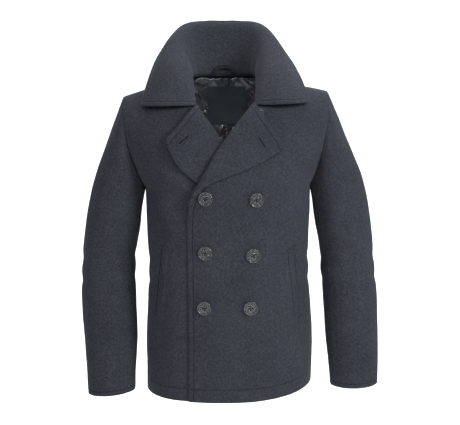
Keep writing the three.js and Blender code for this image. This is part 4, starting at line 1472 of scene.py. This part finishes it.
def surface_under(panel, place, direction):
    """Where a ray meets the panel, with the cloth's outward direction there."""
    if panel.name not in TREES:
        faces = mesh_arrays(panel.data)[1]
        TREES[panel.name] = BVHTree.FromPolygons(coordinates(panel.data).tolist(), faces.tolist())
    hit, normal, _, _ = TREES[panel.name].ray_cast(Vector(place), Vector(direction))
    if hit is None:
        return None
    return hit, normal if normal.dot(Vector(direction)) < 0 else -normal


def button_axis(node):
    """The node's own axis, the direction in which it is thinnest, facing forwards."""
    spots = coordinates(nodes[node].data)
    _, _, axes = np.linalg.svd(spots - spots.mean(0), full_matrices=False)
    axis = Vector(axes[2])
    return (axis if axis.y < 0 else -axis), Vector((np.array(spots.min(0)) + spots.max(0)) / 2)


def seated(matrix, name, *meshes):
    """One piece made of the meshes, moved to the button's place."""
    bm = bmesh.new()
    for mesh in meshes:
        bm.from_mesh(mesh)
    bmesh.ops.transform(bm, matrix=matrix, verts=bm.verts)
    return link(mesh_from(bm, name), name)


for number, turn in enumerate(BUTTON_TURNS, start=1):
    node = f"button_{number}"
    axis, middle = button_axis(node)
    seat, _ = surface_under(panels["front_left"], middle + axis * CAST_HEIGHT, -axis)
    upright = Vector((0, 0, 1)) - axis * axis.z
    frame_turn = turned_to(seat + axis * BUTTON_GAP, axis, -upright.cross(axis))
    matrix = frame_turn @ Matrix.Rotation(math.radians(turn), 4, "Z") @ Matrix.Scale(MM, 4)
    button = seated(matrix, node + "_plastic", drilled, relief_mesh)
    finish_piece(button, plastic, "button_plastic", node)
    finish_piece(seated(matrix, node + "_thread", cross_mesh), thread, "button_plastic")
print(len(BUTTON_TURNS), "buttons")

# %% [markdown]
# ## Buttonholes, pockets and bar tacks
# Each lapel has one buttonhole, worked with close stitches on both sides of its slit. The pockets'
# slits end in short bars of thread. Real slits could be cut with a Boolean, but that would break up
# the squares of the cloth. So each slit is a nearly black strip in the form of a lens, extruded step
# by step along a line that is cast onto the folds. It lies on the cloth as painted shade for the
# slit's hollow, and in the pockets it also stands for their black lining.

# %% Worked stitches
# panel, two ends seen from the front (across and up, in millimetres)
BUTTONHOLES = (
    ("lapel_left", (63.1, -89.8), (77.5, -110.9)),
    ("lapel_right", (-99.7, -103.3), (-79.2, -85.9)),
)
BAR_TACKS = (
    ("front_left", (134.5, -323.5), (143.5, -322.5)),
    ("front_left", (149.5, -480.5), (158.5, -479.5)),
    ("front_right", (-134.5, -323.5), (-143.5, -322.5)),
    ("front_right", (-149.5, -480.5), (-158.5, -479.5)),
)
POCKET_SLITS = (
    ("front_left", (139.6, -326.5), (156.3, -477.4)),
    ("front_right", (-139.6, -326.5), (-156.3, -477.4)),
)
WORKED_PITCH = 0.75 * MM
BUTTONHOLE_HALF_WIDTH = 0.6 * MM
POCKET_HALF_WIDTH = 1.0 * MM
SLIT_RISE = 0.3 * MM
LINE_STEPS = 16
CAST_FROM_Y = -0.4
LENS_MARGIN = 0.08
HOLE_STITCH_OFFSET = 1.0 * MM
HOLE_STITCH_RISE = 0.05 * MM
HOLE_STITCH_SIZE = (0.95 * MM, 0.4 * MM, 0.42 * MM)
TACK_RISE = 0.1 * MM
TACK_SIZE = (1.3 * MM, 0.42 * MM, 0.5 * MM)
SLIT_BLACK_AND_PAINTED_SHADE = (0.0022, 0.0024, 0.003)
SLIT_GREY_AND_PAINTED_SHADE = (0.006, 0.0065, 0.008)


def pocketing():
    """Nearly black twill for the slits: painted shade for the hollow of every slit, and in the pockets
    also their black lining.
    """
    material, tree, shader = new_material("pocketing")
    place = tree.nodes.new("ShaderNodeTexCoord").outputs["Object"]
    twill = add_node(tree, "ShaderNodeTexWave", Scale=700.0, bands_direction="DIAGONAL")
    wire(tree, place, twill.inputs["Vector"])
    colour = ramp(tree, twill.outputs["Fac"], ((0.2, SLIT_BLACK_AND_PAINTED_SHADE), (0.8, SLIT_GREY_AND_PAINTED_SHADE)))
    normal = bump(tree, twill.outputs["Fac"], 0.4, 0.1 * MM)
    wire(tree, colour, shader.inputs["Base Color"], normal, shader.inputs["Normal"])
    shader.inputs["Roughness"].default_value = 0.95
    shader.inputs["Specular IOR Level"].default_value = 0.05
    return material


def line_on(panel, start, end):
    """A line of (point, outward) on the cloth, behind two ends that are seen from the front."""
    line = []
    for step in range(LINE_STEPS + 1):
        x, z = (np.array(start) + (np.array(end) - np.array(start)) * step / LINE_STEPS) * MM
        found = surface_under(panel, (x, CAST_FROM_Y, z), (0, 1, 0))
        if found:
            line.append((np.array(found[0]), np.array(found[1])))
    return line


# %% Strip for a slit
def slit_strip(bm, line, half_width):
    """A lens-shaped strip that lies on the cloth along a line, grown from one end to the other."""
    count = len(line) - 1
    end = None
    for index, (point, normal) in enumerate(line):
        ahead = line[min(index + 1, count)][0] - line[max(index - 1, 0)][0]
        across = Vector(normal).cross(Vector(ahead)).normalized()
        turn = math.pi * (LENS_MARGIN + (1 - 2 * LENS_MARGIN) * index / count)
        half = across * half_width * math.sin(turn) ** 0.5
        lift = Vector(normal) * SLIT_RISE
        middle = Vector(point)
        corners = (middle - half, middle + lift, middle + half, middle - lift)
        if end is None:
            end = bm.faces.new([bm.verts.new(place) for place in corners])
        else:
            end = bmesh.ops.extrude_discrete_faces(bm, faces=[end])["faces"][0]
            for vert, place in zip(end.verts, corners):
                vert.co = place
    open_edges = [edge for edge in bm.edges if edge.is_boundary]
    bmesh.ops.holes_fill(bm, edges=open_edges, sides=4)


# %% Slits
bm = bmesh.new()
for node, start, end in BUTTONHOLES:
    slit_strip(bm, line_on(panels[node], start, end), BUTTONHOLE_HALF_WIDTH)
for node, start, end in POCKET_SLITS:
    slit_strip(bm, line_on(panels[node], start, end), POCKET_HALF_WIDTH)
bmesh.ops.recalc_face_normals(bm, faces=bm.faces)
slits = link(mesh_from(bm, "slits"), "slits")
# the strips are nearly black: painted shade in each slit, and in the pockets also their black lining
finish_piece(slits, pocketing(), "quilted_satin")
print("slits", len(slits.data.polygons), "faces")

# %% Stitches round the slits
bm = bmesh.new()
for node, start, end in BUTTONHOLES:
    for place, normal, along in along_line(line_on(panels[node], start, end), WORKED_PITCH):
        across = normal.cross(along).normalized()
        for side in (-1, 1):
            spot = place + across * side * HOLE_STITCH_OFFSET + normal * HOLE_STITCH_RISE
            bead(bm, spot, normal, across, *HOLE_STITCH_SIZE)
for node, start, end in BAR_TACKS:
    for place, normal, along in along_line(line_on(panels[node], start, end), WORKED_PITCH):
        across = normal.cross(along).normalized()
        bead(bm, place + normal * TACK_RISE, normal, across, *TACK_SIZE)
worked = link(mesh_from(bm, "worked_stitches"), "worked_stitches")
finish_piece(worked, thread, "melton_wool")
print("buttonholes and bar tacks worked")

# %% [markdown]
# ## Update
# The view layer is updated once more. Folds move the cloth only a little, so the finished pieces
# should stay within a few millimetres of the frame's plain walls.

# %% Update
bpy.context.view_layer.update()
